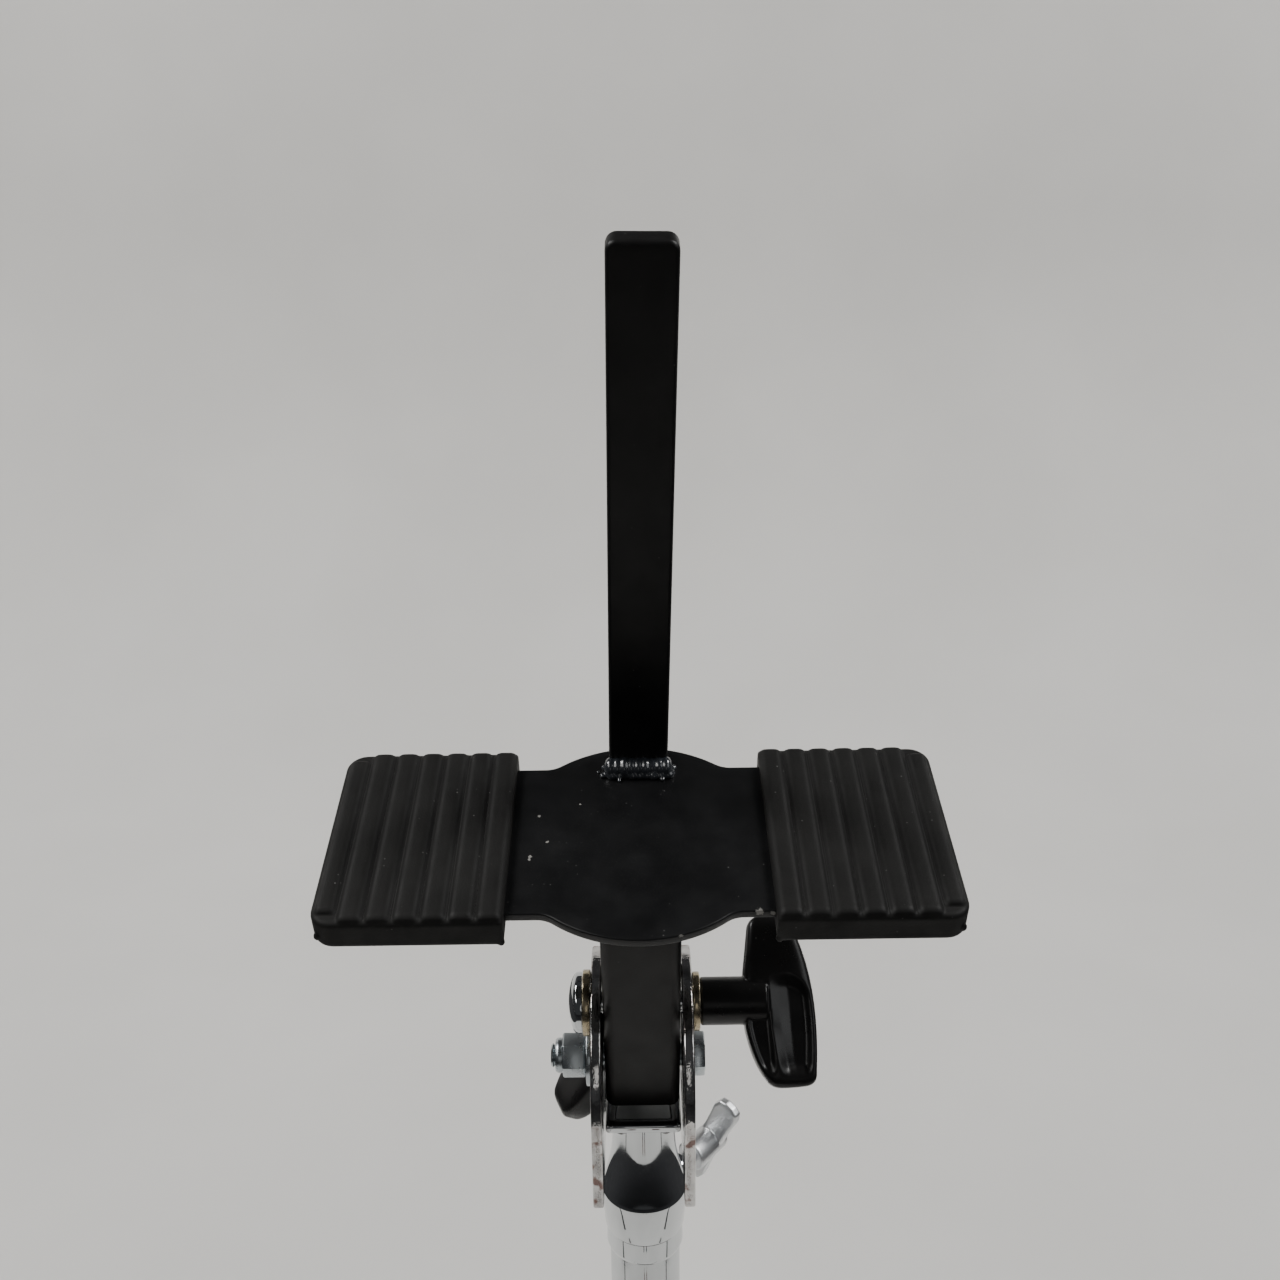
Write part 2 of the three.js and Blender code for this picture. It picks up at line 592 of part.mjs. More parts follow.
function legFoot(azimuth) {
  const r = 13.5;
  const x = HINGE_R + LEG_LONG * Math.sin(rad(LEG_ANGLE));
  const z = LEG_HUB_Z - LEG_LONG * Math.cos(rad(LEG_ANGLE));
  const half = LEG_THICK / 2 + 4.5;
  const turn = Math.asin(z / r);
  const s = new THREE.Shape();
  s.absarc(0, 0, r, -turn, Math.PI + turn, false);
  let body = raised(s, -half, half, 1, 10).rotate([90, 0, 0]);
  // the boot reaches up the leg
  const boot = raised(roundedBox(-22, 4, -LEG_WIDE / 2 - 3, LEG_WIDE / 2 + 3, 2), -half, half, 1, 4);
  body = body.add(boot.rotate([90, 0, 0]).rotate([0, 90 - LEG_ANGLE, 0]));
  body = body.translate([x, 0, z]);
  const fit = raised(flatBar(LEG_LONG, LEG_WIDE + 2 * GAP), -LEG_THICK / 2 - GAP, LEG_THICK / 2 + GAP, 0, 5);
  return body.subtract(alongLeg(fit)).rotate([0, 0, azimuth]);
}

function brace(azimuth) {
  let bar = raised(flatBar(LINK, BRACE_WIDE), -BRACE_THICK / 2, BRACE_THICK / 2, 0.4, 5);
  bar = bar.subtract(rod(PIN_R + GAP, -6, 6, PIN_ROUND));
  bar = bar.subtract(rod(PIN_R + GAP, -6, 6, PIN_ROUND).translate([LINK, 0, 0]));
  const upright = bar.rotate([90, 0, 0]).rotate([0, LEG_ANGLE - 90, 0]);
  return upright.translate([HINGE_R, BRACE_SIDE, FOOT_HUB_Z]).rotate([0, 0, azimuth]);
}

function braceRivet(azimuth) {
  const low = -LEG_THICK / 2 - GAP;
  const high = BRACE_SIDE + BRACE_THICK / 2 + GAP;
  const x = HINGE_R + LINK * Math.sin(rad(LEG_ANGLE));
  const z = LEG_HUB_Z - LINK * Math.cos(rad(LEG_ANGLE));
  const pin = rodY(PIN_R, low - 1, high + 1, PIN_ROUND);
  const heads = rodY(4.6, low - 1.6, low, PIN_ROUND).add(rodY(4.6, high, high + 1.6, PIN_ROUND));
  return pin.add(heads).translate([x, 0, z]).rotate([0, 0, azimuth]);
}

function bracePin(azimuth) {
  const half = BRACE_THICK / 2 + 0.4 + LUG + GAP;
  const pin = rodY(PIN_R, -half - 1, half + 1, PIN_ROUND);
  const heads = rodY(4.2, -half - 1.5, -half, PIN_ROUND).add(rodY(4.2, half, half + 1.5, PIN_ROUND));
  return pin.add(heads).translate([HINGE_R, BRACE_SIDE, FOOT_HUB_Z]).rotate([0, 0, azimuth]);
}

// ---- assembly
const part = new THREE.Group();
part.name = 'saxophone_stand';

function place(name, body, look) {
  const mesh = new THREE.Mesh(surface(body), paint(...look));
  mesh.name = name;
  part.add(mesh);
}

// Cradle pieces lean forward about the pivot; bracket pieces only rise to it.
function placeCradle(name, body, look) {
  place(name, body.rotate([REST_TILT, 0, 0]).translate([0, 0, PIVOT_Z]), look);
}

function placeBracket(name, body, look) {
  place(name, body.translate([0, 0, PIVOT_Z]), look);
}

placeCradle('cradle_plate', cradlePlate(), BLACK);
placeCradle('upright_bar', uprightBar(), BLACK);
placeCradle('upright_weld', uprightWeld(), BLACK);
placeCradle('rubber_sleeve_left', rubberSleeve(-1), RUBBER);
placeCradle('rubber_sleeve_right', rubberSleeve(1), RUBBER);
placeCradle('pivot_block', pivotBlock(), BLACK);
placeCradle('block_plug', blockPlug(), PLASTIC);
placeCradle('clamp_spacer', clampSpacer(), ZINC);
placeCradle('clamp_bolt', clampBolt(), CHROME);
placeCradle('clamp_washer_left', clampWasher(-1, 10.8, 2.4), BRASS);
placeCradle('clamp_washer_right', clampWasher(1, 9.6, 2.2), BRASS);
placeCradle('tilt_knob', tiltKnob(), PLASTIC);

placeBracket('side_plate_left', sidePlate(-1), CHROME);
placeBracket('side_plate_right', sidePlate(1), CHROME);
placeBracket('bracket_web', bracketWeb(), CHROME);
placeBracket('head_socket', headSocket(), CHROME);
placeBracket('pivot_bolt', pivotBolt(), ZINC);
placeBracket('pivot_washer', pivotWasher(), ZINC);
placeBracket('pivot_nut', pivotNut(), ZINC);
placeBracket('lock_knob', aimed(lockKnob(), LOCK_AZ, LOCK_Z), PLASTIC);
placeBracket('lock_screw', aimed(lockScrew(), LOCK_AZ, LOCK_Z), ZINC);
placeBracket('socket_wing_screw', aimed(socketScrew(), WING_AZ, WING_Z), CHROME);

place('upper_tube', upperTube(), CHROME);
place('tube_spigot', tubeSpigot(), ZINC);
place('stop_ring', stopRing(), CHROME);
place('tube_guide', tubeGuide(), NYLON);
place('lower_tube', lowerTube(), CHROME);
place('height_clamp', heightClamp(), CHROME);
place('height_bush', heightBush(), NYLON);
place('height_wing_screw', heightScrew(), CHROME);
place('height_nut', heightNut(), ZINC);
place('tube_cap', tubeCap(), NYLON);
place('leg_hub', legHub(), CHROME);
place('hub_wing_screw', hubScrew(), CHROME);
place('foot_hub', footHub(), CHROME);

LEG_AZIMUTHS.forEach((azimuth, i) => {
  const n = i + 1;
  place(`leg_${n}`, leg(azimuth), CHROME);
  place(`leg_pin_${n}`, legPin(azimuth), ZINC);
  place(`leg_foot_${n}`, legFoot(azimuth), RUBBER);
  place(`brace_${n}`, brace(azimuth), CHROME);
  place(`brace_rivet_${n}`, braceRivet(azimuth), ZINC);
  place(`brace_pin_${n}`, bracePin(azimuth), ZINC);
});

export default part;
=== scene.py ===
import json
import math
import random

import bmesh
import bpy
from mathutils import Matrix, Vector


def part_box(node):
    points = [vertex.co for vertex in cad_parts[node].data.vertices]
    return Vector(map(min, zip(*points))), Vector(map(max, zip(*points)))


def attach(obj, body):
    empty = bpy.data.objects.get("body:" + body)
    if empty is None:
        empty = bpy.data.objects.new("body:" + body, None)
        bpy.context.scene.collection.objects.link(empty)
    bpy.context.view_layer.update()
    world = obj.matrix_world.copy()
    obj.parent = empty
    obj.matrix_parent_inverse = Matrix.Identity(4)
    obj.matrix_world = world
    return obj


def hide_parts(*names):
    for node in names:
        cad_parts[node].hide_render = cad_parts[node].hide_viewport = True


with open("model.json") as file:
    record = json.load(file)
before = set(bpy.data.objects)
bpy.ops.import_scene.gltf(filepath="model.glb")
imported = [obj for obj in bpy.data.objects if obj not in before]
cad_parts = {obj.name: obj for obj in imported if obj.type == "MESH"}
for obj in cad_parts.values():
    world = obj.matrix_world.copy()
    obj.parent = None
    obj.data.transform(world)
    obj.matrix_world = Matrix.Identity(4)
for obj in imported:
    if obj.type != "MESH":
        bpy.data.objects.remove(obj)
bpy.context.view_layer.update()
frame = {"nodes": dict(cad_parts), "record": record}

random.seed(11)
MM = 0.001
nodes = frame["nodes"]
body_of = {n: b for b, ns in frame["record"]["behaviour"]["bodies"].items() for n in ns}
slot_of = {s["node"]: s["material_slot"] for s in frame["record"]["subparts"]}

# ---- the part's driving sizes, in millimetres, as in the CAD
PIVOT_Z = 600.0
REST_TILT = 16.0
PLATE_TOP, PLATE_THICK = 105.0, 3.0
DISC_R, ARM_HALF, ARM_END, NECK_FILLET = 40.4, 30.4, 87.0, 8.0
BAR_WIDTH, BAR_THICK, BAR_FRONT, BAR_HEIGHT = 18.6, 8.0, 30.0, 170.0
SLEEVE_IN, SLEEVE_OUT, SLEEVE_HALF = 38.3, 92.5, 35.8
SLEEVE_BOTTOM, SLEEVE_TOP = 97.8, 109.2
BLOCK, BLOCK_WALL, BLOCK_LOW = 25.4, 2.2, -11.5
CLAMP_R = 28.0
SIDE_IN, SIDE_THICK, SIDE_R, SIDE_REAR, SIDE_LOW = 13.3, 3.5, 37.6, 14.0, -32.6
SIDE_OUT = SIDE_IN + SIDE_THICK
SLOT_BACK, SLOT_FRONT = -12.0, 75.0
GAP = 0.3
KNOB_TURN = -56.0
LOCK_Z, LOCK_AZ, LOCK_BOSS, LOCK_TURN = -35.0, 110.0, 22.0, 30.0
WING_Z, WING_AZ, WING_BOSS, WING_TURN = -63.0, 50.0, 21.0, 25.0
WING_START = 27.0
BAR_LEAN = 1.0
LEG_AZIMUTHS = (90, 210, 330)
FOOT_HUB_Z, HUB_PIVOT_R, BRACE_LONG, LEG_ANGLE = 28, 27, 120, 60
# leg and brace make an even triangle, with the brace's pin a brace's length down the leg
LEG_HUB_Z = FOOT_HUB_Z + 2 * BRACE_LONG * math.cos(math.radians(LEG_ANGLE))
BRACE_SIDE = 4.4
HUB_WING_AZ = LEG_AZIMUTHS[0] + 60
CLAMP_EAR_Y, CLAMP_MID = 28, 411

HEAD = Matrix.Translation((0, 0, PIVOT_Z * MM)) @ Matrix.Rotation(math.radians(REST_TILT), 4, "X")
TILTER = Matrix.Translation((0, 0, PIVOT_Z * MM))
FLOOR = Matrix.Identity(4)


# ---- meshes
def new_object(name, mesh, place=FLOOR, sharp=35.0):
    obj = bpy.data.objects.new(name, mesh)
    bpy.context.scene.collection.objects.link(obj)
    obj.matrix_world = place
    smooth(mesh, sharp)
    return obj


def smooth(mesh, sharp):
    for p in mesh.polygons:
        p.use_smooth = True
    mesh.set_sharp_from_angle(angle=math.radians(sharp))


def mesh_from(name, verts, faces, scale=MM):
    mesh = bpy.data.meshes.new(name)
    mesh.from_pydata([[c * scale for c in v] for v in verts], [], faces)
    bm = bmesh.new()
    bm.from_mesh(mesh)
    bmesh.ops.remove_doubles(bm, verts=bm.verts, dist=1e-7)
    bmesh.ops.recalc_face_normals(bm, faces=bm.faces)
    bm.to_mesh(mesh)
    bm.free()
    return mesh


def baked(obj):
    """The object's mesh with its modifiers applied."""
    bpy.context.view_layer.update()
    graph = bpy.context.evaluated_depsgraph_get()
    mesh = bpy.data.meshes.new_from_object(obj.evaluated_get(graph))
    obj.modifiers.clear()
    obj.data = mesh
    return obj


def arc(cx, cy, r, a0, a1, n):
    """Points on an arc, angles in degrees."""
    out = []
    for i in range(n + 1):
        a = math.radians(a0 + (a1 - a0) * i / n)
        out.append((cx + r * math.cos(a), cy + r * math.sin(a)))
    return out


def round_corners(points, r, n=6):
    """A closed outline with every corner rounded."""
    out = []
    count = len(points)
    for i in range(count):
        p = Vector(points[i])
        a = (Vector(points[i - 1]) - p).normalized()
        b = (Vector(points[(i + 1) % count]) - p).normalized()
        half = math.acos(max(-1, min(1, a.dot(b)))) / 2
        ri = r[i] if isinstance(r, (list, tuple)) else r
        if half > math.radians(88) or ri <= 0:
            out.append(tuple(p))
            continue
        d = ri / math.tan(half)
        c = p + (a + b).normalized() * (ri / math.sin(half))
        s, e = p + a * d, p + b * d
        s0 = math.atan2(s.y - c.y, s.x - c.x)
        e0 = math.atan2(e.y - c.y, e.x - c.x)
        turn = (e0 - s0 + math.pi) % (2 * math.pi) - math.pi
        for k in range(n + 1):
            t = s0 + turn * k / n
            out.append((c.x + ri * math.cos(t), c.y + ri * math.sin(t)))
    return out


def rect(x0, x1, y0, y1, r=0.0, n=6):
    pts = [(x0, y0), (x1, y0), (x1, y1), (x0, y1)]
    return round_corners(pts, r, n) if r else pts


def slab(name, loops, z0, z1, bevel=0.4, steps=3):
    """A flat outline (first loop) with holes, raised from z0 to z1 with rounded edges."""
    curve = bpy.data.curves.new(name, "CURVE")
    curve.dimensions = "2D"
    curve.fill_mode = "BOTH"
    for loop in loops:
        spline = curve.splines.new("POLY")
        spline.points.add(len(loop) - 1)
        for p, (x, y) in zip(spline.points, loop):
            p.co = (x * MM, y * MM, 0, 1)
        spline.use_cyclic_u = True
    curve.extrude = ((z1 - z0) / 2 - bevel) * MM
    curve.bevel_depth = bevel * MM
    curve.bevel_resolution = steps
    curve.offset = -bevel * MM
    obj = bpy.data.objects.new(name + "_curve", curve)
    bpy.context.scene.collection.objects.link(obj)
    graph = bpy.context.evaluated_depsgraph_get()
    mesh = bpy.data.meshes.new_from_object(obj.evaluated_get(graph))
    bpy.data.objects.remove(obj)
    bpy.data.curves.remove(curve)
    mesh.transform(Matrix.Translation((0, 0, (z0 + z1) / 2 * MM)))
    bm = bmesh.new()
    bm.from_mesh(mesh)
    bmesh.ops.remove_doubles(bm, verts=bm.verts, dist=2e-6)
    bmesh.ops.recalc_face_normals(bm, faces=bm.faces)
    bm.to_mesh(mesh)
    bm.free()
    mesh.name = name
    return mesh


def turned(name, profile, n=128):
    """A closed profile of (radius, z) turned about Z. A radius of 0 is a pole."""
    verts, faces, rows = [], [], []
    for r, z in profile:
        if r < 1e-6:
            rows.append([len(verts)] * n)
            verts.append((0, 0, z))
        else:
            rows.append([len(verts) + k for k in range(n)])
            for k in range(n):
                a = 2 * math.pi * k / n
                verts.append((r * math.cos(a), r * math.sin(a), z))
    for i in range(len(rows)):
        a, b = rows[i], rows[(i + 1) % len(rows)]
        for k in range(n):
            quad = [a[k], a[(k + 1) % n], b[(k + 1) % n], b[k]]
            face = []
            for v in quad:
                if v not in face:
                    face.append(v)
            if len(face) > 2:
                faces.append(face)
    return mesh_from(name, verts, faces)


def soften(profile, r=0.4, n=3):
    """Rounds every corner of a turned profile that isn't on the axis."""
    radii = [0 if p[0] < 1e-6 else r for p in profile]
    safe = []
    for i, p in enumerate(profile):
        a, b = Vector(profile[i - 1]), Vector(profile[(i + 1) % len(profile)])
        room = min((a - Vector(p)).length, (b - Vector(p)).length) * 0.45
        safe.append(min(radii[i], room))
    return round_corners(profile, safe, n)


def along_x(mesh):
    mesh.transform(Matrix.Rotation(math.radians(90), 4, "Y"))
    return mesh


def shifted(mesh, x=0.0, y=0.0, z=0.0):
    mesh.transform(Matrix.Translation((x * MM, y * MM, z * MM)))
    return mesh


def joined(name, *meshes):
    bm = bmesh.new()
    for m in meshes:
        bm.from_mesh(m)
    mesh = bpy.data.meshes.new(name)
    bm.to_mesh(mesh)
    bm.free()
    return mesh


def fused(name, mesh, voxel, rounds=4, factor=0.5, place=FLOOR, sharp=60.0):
    """Overlapping solids melted into one moulded or cast skin."""
    obj = new_object(name, mesh, place)
    m = obj.modifiers.new("melt", "REMESH")
    m.mode = "VOXEL"
    m.voxel_size = voxel * MM
    s = obj.modifiers.new("soft", "SMOOTH")
    s.factor = factor
    s.iterations = rounds
    baked(obj)
    smooth(obj.data, sharp)
    return obj


def prism(n, flats, z0, z1, chamfer=0.0):
    """A regular prism along Z, measured across its flats, its corners slightly rounded and its edges bevelled
    by the chamfer.
    """
    r = flats / 2 / math.cos(math.pi / n)
    hexa = [(r * math.cos(2 * math.pi * k / n), r * math.sin(2 * math.pi * k / n)) for k in range(n)]
    return slab("prism", [round_corners(hexa, 0.35, 3)], z0, z1, max(chamfer, 0.25), 2)


# ---- materials
def finish(name, colour, rough, metal=0.0, variation=0.06, grain=900.0, bump=0.15, rough_spread=0.05,
           wear_and_sheen=None, specks=0.0, brushed=None, coat=0.0, smudge=60.0, shine=0.5, chips=()):
    """A procedural finish: colour mottling, roughness patches, fine relief, an edge colour and dust; the edge
    colour is real wear on the paint, a painted reflection on the stamped plates and a painted highlight on the
    weld.
    """
    mat = bpy.data.materials.new(name)
    mat.use_nodes = True
    t = mat.node_tree
    t.nodes.clear()
    out = t.nodes.new("ShaderNodeOutputMaterial")
    sh = t.nodes.new("ShaderNodeBsdfPrincipled")
    t.links.new(sh.outputs["BSDF"], out.inputs["Surface"])
    sh.inputs["Metallic"].default_value = metal
    sh.inputs["Specular IOR Level"].default_value = shine
    sh.inputs["Coat Weight"].default_value = coat
    sh.inputs["Coat Roughness"].default_value = 0.12
    co = t.nodes.new("ShaderNodeTexCoord")
    where = co.outputs["Object"]

    def noise(scale, detail=4.0, stretch=None):
        node = t.nodes.new("ShaderNodeTexNoise")
        node.inputs["Scale"].default_value = scale
        node.inputs["Detail"].default_value = detail
        source = where
        if stretch:
            mp = t.nodes.new("ShaderNodeMapping")
            mp.inputs["Scale"].default_value = stretch
            t.links.new(where, mp.inputs["Vector"])
            source = mp.outputs["Vector"]
        t.links.new(source, node.inputs["Vector"])
        return node.outputs["Fac"]

    def ranged(source, a, b, c, d):
        node = t.nodes.new("ShaderNodeMapRange")
        for socket, value in zip(("From Min", "From Max", "To Min", "To Max"), (a, b, c, d)):
            node.inputs[socket].default_value = value
        t.links.new(source, node.inputs["Value"])
        return node.outputs["Result"]

    def mix(fac, a, b):
        node = t.nodes.new("ShaderNodeMix")
        node.data_type = "RGBA"
        t.links.new(fac, node.inputs["Factor"])
        for socket, value in ((node.inputs[6], a), (node.inputs[7], b)):
            if isinstance(value, tuple):
                socket.default_value = (*value, 1.0)
            else:
                t.links.new(value, socket)
        return node.outputs[2]

    dark = tuple(c * (1 - variation) for c in colour)
    light = tuple(min(1.0, c * (1 + variation)) for c in colour)
    colour_out = mix(ranged(noise(smudge), 0.35, 0.65, 0.0, 1.0), dark, light)
    smoothest = max(0.02, rough - rough_spread)
    rough_out = ranged(noise(smudge * 1.7, 6.0), 0.3, 0.7, smoothest, rough + rough_spread)
    # colour in patches on sharp edges: bare metal where the paint is worn, and painted reflection and painted
    # highlight where the stamped plates and the weld use it
    if wear_and_sheen:
        wear_and_sheen_colour, amount, sharpness = wear_and_sheen
        geo = t.nodes.new("ShaderNodeNewGeometry")
        edge = ranged(geo.outputs["Pointiness"], 0.5 + sharpness, 0.5 + sharpness * 2.2, 0.0, 1.0)
        patch = ranged(noise(260.0, 8.0), 0.52, 0.62, 0.0, amount)
        mul = t.nodes.new("ShaderNodeMath")
        mul.operation = "MULTIPLY"
        t.links.new(edge, mul.inputs[0])
        t.links.new(patch, mul.inputs[1])
        colour_out = mix(mul.outputs[0], colour_out, wear_and_sheen_colour)
    if specks:
        spots = t.nodes.new("ShaderNodeTexVoronoi")
        spots.inputs["Scale"].default_value = 420.0
        t.links.new(where, spots.inputs["Vector"])
        near = ranged(spots.outputs["Distance"], 0.05, 0.13, 1.0, 0.0)
        rare = ranged(noise(170.0, 5.0), 0.56, 0.66, 0.0, specks)
        mul = t.nodes.new("ShaderNodeMath")
        mul.operation = "MULTIPLY"
        t.links.new(near, mul.inputs[0])
        t.links.new(rare, mul.inputs[1])
        colour_out = mix(mul.outputs[0], colour_out, (0.32, 0.32, 0.31))
    for x, y, z, r in chips:
        away = t.nodes.new("ShaderNodeVectorMath")
        away.operation = "DISTANCE"
        away.inputs[1].default_value = (x * MM, y * MM, z * MM)
        t.links.new(where, away.inputs[0])
        ragged = t.nodes.new("ShaderNodeMath")
        ragged.operation = "MULTIPLY_ADD"
        t.links.new(noise(1300.0, 3.0), ragged.inputs[0])
        ragged.inputs[1].default_value = 2.2 * r * MM
        t.links.new(away.outputs["Value"], ragged.inputs[2])
        spot = ranged(ragged.outputs[0], 1.8 * r * MM, 2.2 * r * MM, 0.75, 0.0)
        colour_out = mix(spot, colour_out, (0.30, 0.29, 0.27))
    t.links.new(colour_out, sh.inputs["Base Color"])
    t.links.new(rough_out, sh.inputs["Roughness"])
    relief = noise(grain, 3.0, brushed)
    bm = t.nodes.new("ShaderNodeBump")
    bm.inputs["Strength"].default_value = bump
    bm.inputs["Distance"].default_value = 0.0002
    t.links.new(relief, bm.inputs["Height"])
    t.links.new(bm.outputs["Normal"], sh.inputs["Normal"])
    return mat


BARE = (0.50, 0.49, 0.47)
# reddish-brown painted in patches on the stamped side plates' edges: a painted reflection of the brown seen
# along them
PAINTED_EDGE_REFLECTION = (0.15, 0.065, 0.05)
# where the plate's paint is chipped: x, y, z and radius in the cradle's millimetres
CHIPS = (
    (-30.5, 9.0, 105.0, 0.45),
    (-27.5, -2.0, 105.0, 0.45),
    (-32.2, -8.0, 105.0, 0.55),
    (-32.4, -9.2, 105.0, 0.5),
    (-18.0, 14.0, 105.0, 0.3),
    (33.6, -30.4, 104.4, 1.2),
    (37.4, -30.5, 104.1, 0.8),
    (11.4, -39.2, 104.4, 0.7),
)
M_PAINT = finish("black_satin_paint", (0.0058, 0.0054, 0.0054), 0.42, variation=0.25, grain=1400.0, bump=0.10,
                 rough_spread=0.06, wear_and_sheen=(BARE, 0.9, 0.05), specks=0.25, shine=0.3)
M_PLATE = finish("black_plate_paint", (0.0052, 0.0053, 0.0057), 0.36, variation=0.25, grain=1400.0, bump=0.10,
                 rough_spread=0.06, wear_and_sheen=(BARE, 0.9, 0.05), specks=0.3, shine=0.36, chips=CHIPS)
M_BLOCK = finish("black_block_paint", (0.0100, 0.0092, 0.0088), 0.45, variation=0.2, grain=1700.0, bump=0.14,
                 specks=0.1, shine=0.3)
M_RUBBER = finish("moulded_rubber", (0.0088, 0.0085, 0.0080), 0.60, variation=0.22, grain=1500.0, bump=0.30,
                  rough_spread=0.08, specks=0.4, shine=0.22)
M_CHROME = finish("bright_chrome", (0.66, 0.68, 0.69), 0.06, metal=1.0, variation=0.04, grain=700.0, bump=0.02,
                  rough_spread=0.03)
# the edge colour of the stamped plates is a reddish-brown painted reflection
M_EDGE = finish("stamped_chrome", (0.62, 0.61, 0.60), 0.11, metal=1.0, variation=0.25, grain=520.0, bump=0.7,
                rough_spread=0.06, brushed=(1.0, 1.0, 0.6), smudge=150.0, wear_and_sheen=(PAINTED_EDGE_REFLECTION, 0.85, 0.015))
M_CAST = finish("satin_chrome", (0.86, 0.87, 0.88), 0.40, metal=1.0, variation=0.05, grain=500.0, bump=0.06)
M_ZINC = finish("zinc_plate", (0.50, 0.54, 0.56), 0.26, metal=1.0, variation=0.14, bump=0.16, rough_spread=0.08)
M_BRASS = finish("yellow_zinc", (0.47, 0.40, 0.27), 0.26, metal=1.0, variation=0.22, grain=800.0, bump=0.12,
                 rough_spread=0.08, smudge=220.0)
M_PLASTIC = finish("black_moulded_plastic", (0.0068, 0.0064, 0.0064), 0.30, variation=0.2, bump=0.05,
                   specks=0.2, shine=0.34)
M_NYLON = finish("black_nylon", (0.012, 0.012, 0.013), 0.42, variation=0.2, grain=1000.0, bump=0.12)
# the bluish patches on the bead's raised edges are a painted highlight, and the bead's bluish tint is partly
# painted highlight too
M_WELD = finish("painted_weld", (0.020, 0.023, 0.028), 0.22, variation=0.4, grain=300.0, bump=0.08,
                wear_and_sheen=((0.12, 0.14, 0.17), 0.8, 0.03), shine=0.8, coat=0.6)

LOOK = {
    "black_paint": M_PAINT, "chrome": M_CHROME, "rubber": M_RUBBER, "zinc": M_ZINC,
    "brass": M_BRASS, "black_plastic": M_NYLON,
}
for node_name, obj in nodes.items():
    obj.data.materials.clear()
    obj.data.materials.append(LOOK[slot_of[node_name]])


def dress(obj, look, node):
    """Gives a piece its finish and puts it in the place of its CAD node."""
    obj.data.materials.clear()
    obj.data.materials.append(look)
    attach(obj, body_of[node])
    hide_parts(node)
    return obj


# ---- camera: above and in front, looking 20 degrees down
def camera():
    data = bpy.data.cameras.new("camera")
    data.lens = 36.75
    data.sensor_width = 36.0
    data.clip_start = 0.02
    cam = bpy.data.objects.new("camera", data)
    bpy.context.scene.collection.objects.link(cam)
    cam.matrix_world = (
        Matrix.Translation((0.0005, -0.3770, 0.8899))
        @ Matrix.Rotation(math.radians(-0.09), 4, "Z")
        @ Matrix.Rotation(math.radians(90 - 19.98), 4, "X")
        @ Matrix.Rotation(math.radians(-0.77), 4, "Z")
    )
    bpy.context.scene.camera = cam


camera()


# ---- cradle
def plate_outline():
    out = math.sqrt((DISC_R + NECK_FILLET) ** 2 - (ARM_HALF + NECK_FILLET) ** 2)
    turn = math.degrees(math.atan2(ARM_HALF + NECK_FILLET, out))
    y = ARM_HALF + NECK_FILLET
    c = 5.0
    pts = arc(ARM_END - c, -ARM_HALF + c, c, -90, 0, 6)
    pts += arc(ARM_END - c, ARM_HALF - c, c, 0, 90, 6)
    pts += arc(out, y, NECK_FILLET, -90, turn - 180, 12)
    pts += arc(0, 0, DISC_R, turn, 180 - turn, 48)[1:-1]
    pts += arc(-out, y, NECK_FILLET, -turn, -90, 12)
    pts += arc(-ARM_END + c, ARM_HALF - c, c, 90, 180, 6)
    pts += arc(-ARM_END + c, -ARM_HALF + c, c, 180, 270, 6)
    pts += arc(-out, -y, NECK_FILLET, 90, turn, 12)
    pts += arc(0, 0, DISC_R, 180 + turn, 360 - turn, 48)[1:-1]
    pts += arc(out, -y, NECK_FILLET, 180 - turn, 90, 12)
    return pts


plate = slab("plate_body", [plate_outline()], PLATE_TOP - PLATE_THICK, PLATE_TOP, 0.55)
dress(new_object("plate_body", plate, HEAD), M_PLATE, "cradle_plate")


def bar_body():
    w = BAR_WIDTH / 2
    foot, top = PLATE_TOP + GAP, PLATE_TOP + BAR_HEIGHT
    outline = round_corners([(-w, foot), (w, foot), (w, top), (-w, top)], [0.3, 0.3, 3.0, 3.0], 8)
    mesh = slab("bar_body", [outline], 0, BAR_THICK, 1.3, 5)
    mesh.transform(Matrix.Rotation(math.radians(90), 4, "X"))
    shifted(mesh, z=-foot)
    mesh.transform(Matrix.Rotation(math.radians(BAR_LEAN), 4, "Y"))
    return shifted(mesh, y=BAR_FRONT + BAR_THICK, z=foot + GAP / 2)


dress(new_object("bar_body", bar_body(), HEAD), M_PAINT, "upright_bar")


def blob(cx, cy, cz, rx, ry, rz, n=12):
    """An ellipsoid."""
    verts, faces = [], []
    around = 2 * n
    for i in range(n + 1):
        t = math.pi * i / n
        for k in range(around):
            a = math.pi * k / n
            x = cx + rx * math.sin(t) * math.cos(a)
            y = cy + ry * math.sin(t) * math.sin(a)
            verts.append((x, y, cz + rz * math.cos(t)))
    for i in range(n):
        row, below = i * around, (i + 1) * around
        for k in range(around):
            beside = (k + 1) % around
            faces.append((row + k, row + beside, below + beside, below + k))
    return mesh_from("blob", verts, faces)


# drops of spatter beside the bead: x, y and radius
SPATTER = (
    (-11.2, 26.6, 1.1), (-10.9, 30.4, 1.0), (-12.6, 28.2, 0.7), (10.6, 27.6, 1.3), (11.2, 30.0, 1.1),
    (7.6, 24.4, 0.8), (-6.0, 24.2, 0.7),
)


def weld_bead():
    """A row of overlapping drops along the foot of the bar, with spatter beside it."""
    drops = []
    z = PLATE_TOP + 0.4
    for i in range(9):
        x = -8.8 + 17.6 * i / 8
        wob = random.uniform(-0.4, 0.4)
        drops.append(blob(x, BAR_FRONT - 1.3, z + 1.3, 2.2, 3.4 + wob, 3.5 + wob))
        drops.append(blob(x + 0.6, BAR_FRONT - 3.0 + wob, z + 0.4, 2.2, 2.4, 1.7))
    for x, y, r in SPATTER:
        drops.append(blob(x, y, z + 0.1, r, r, r * 0.7))
    return joined("weld_bead", *drops)


dress(fused("weld_bead", weld_bead(), 0.24, 10, 0.6, HEAD), M_WELD, "upright_weld")


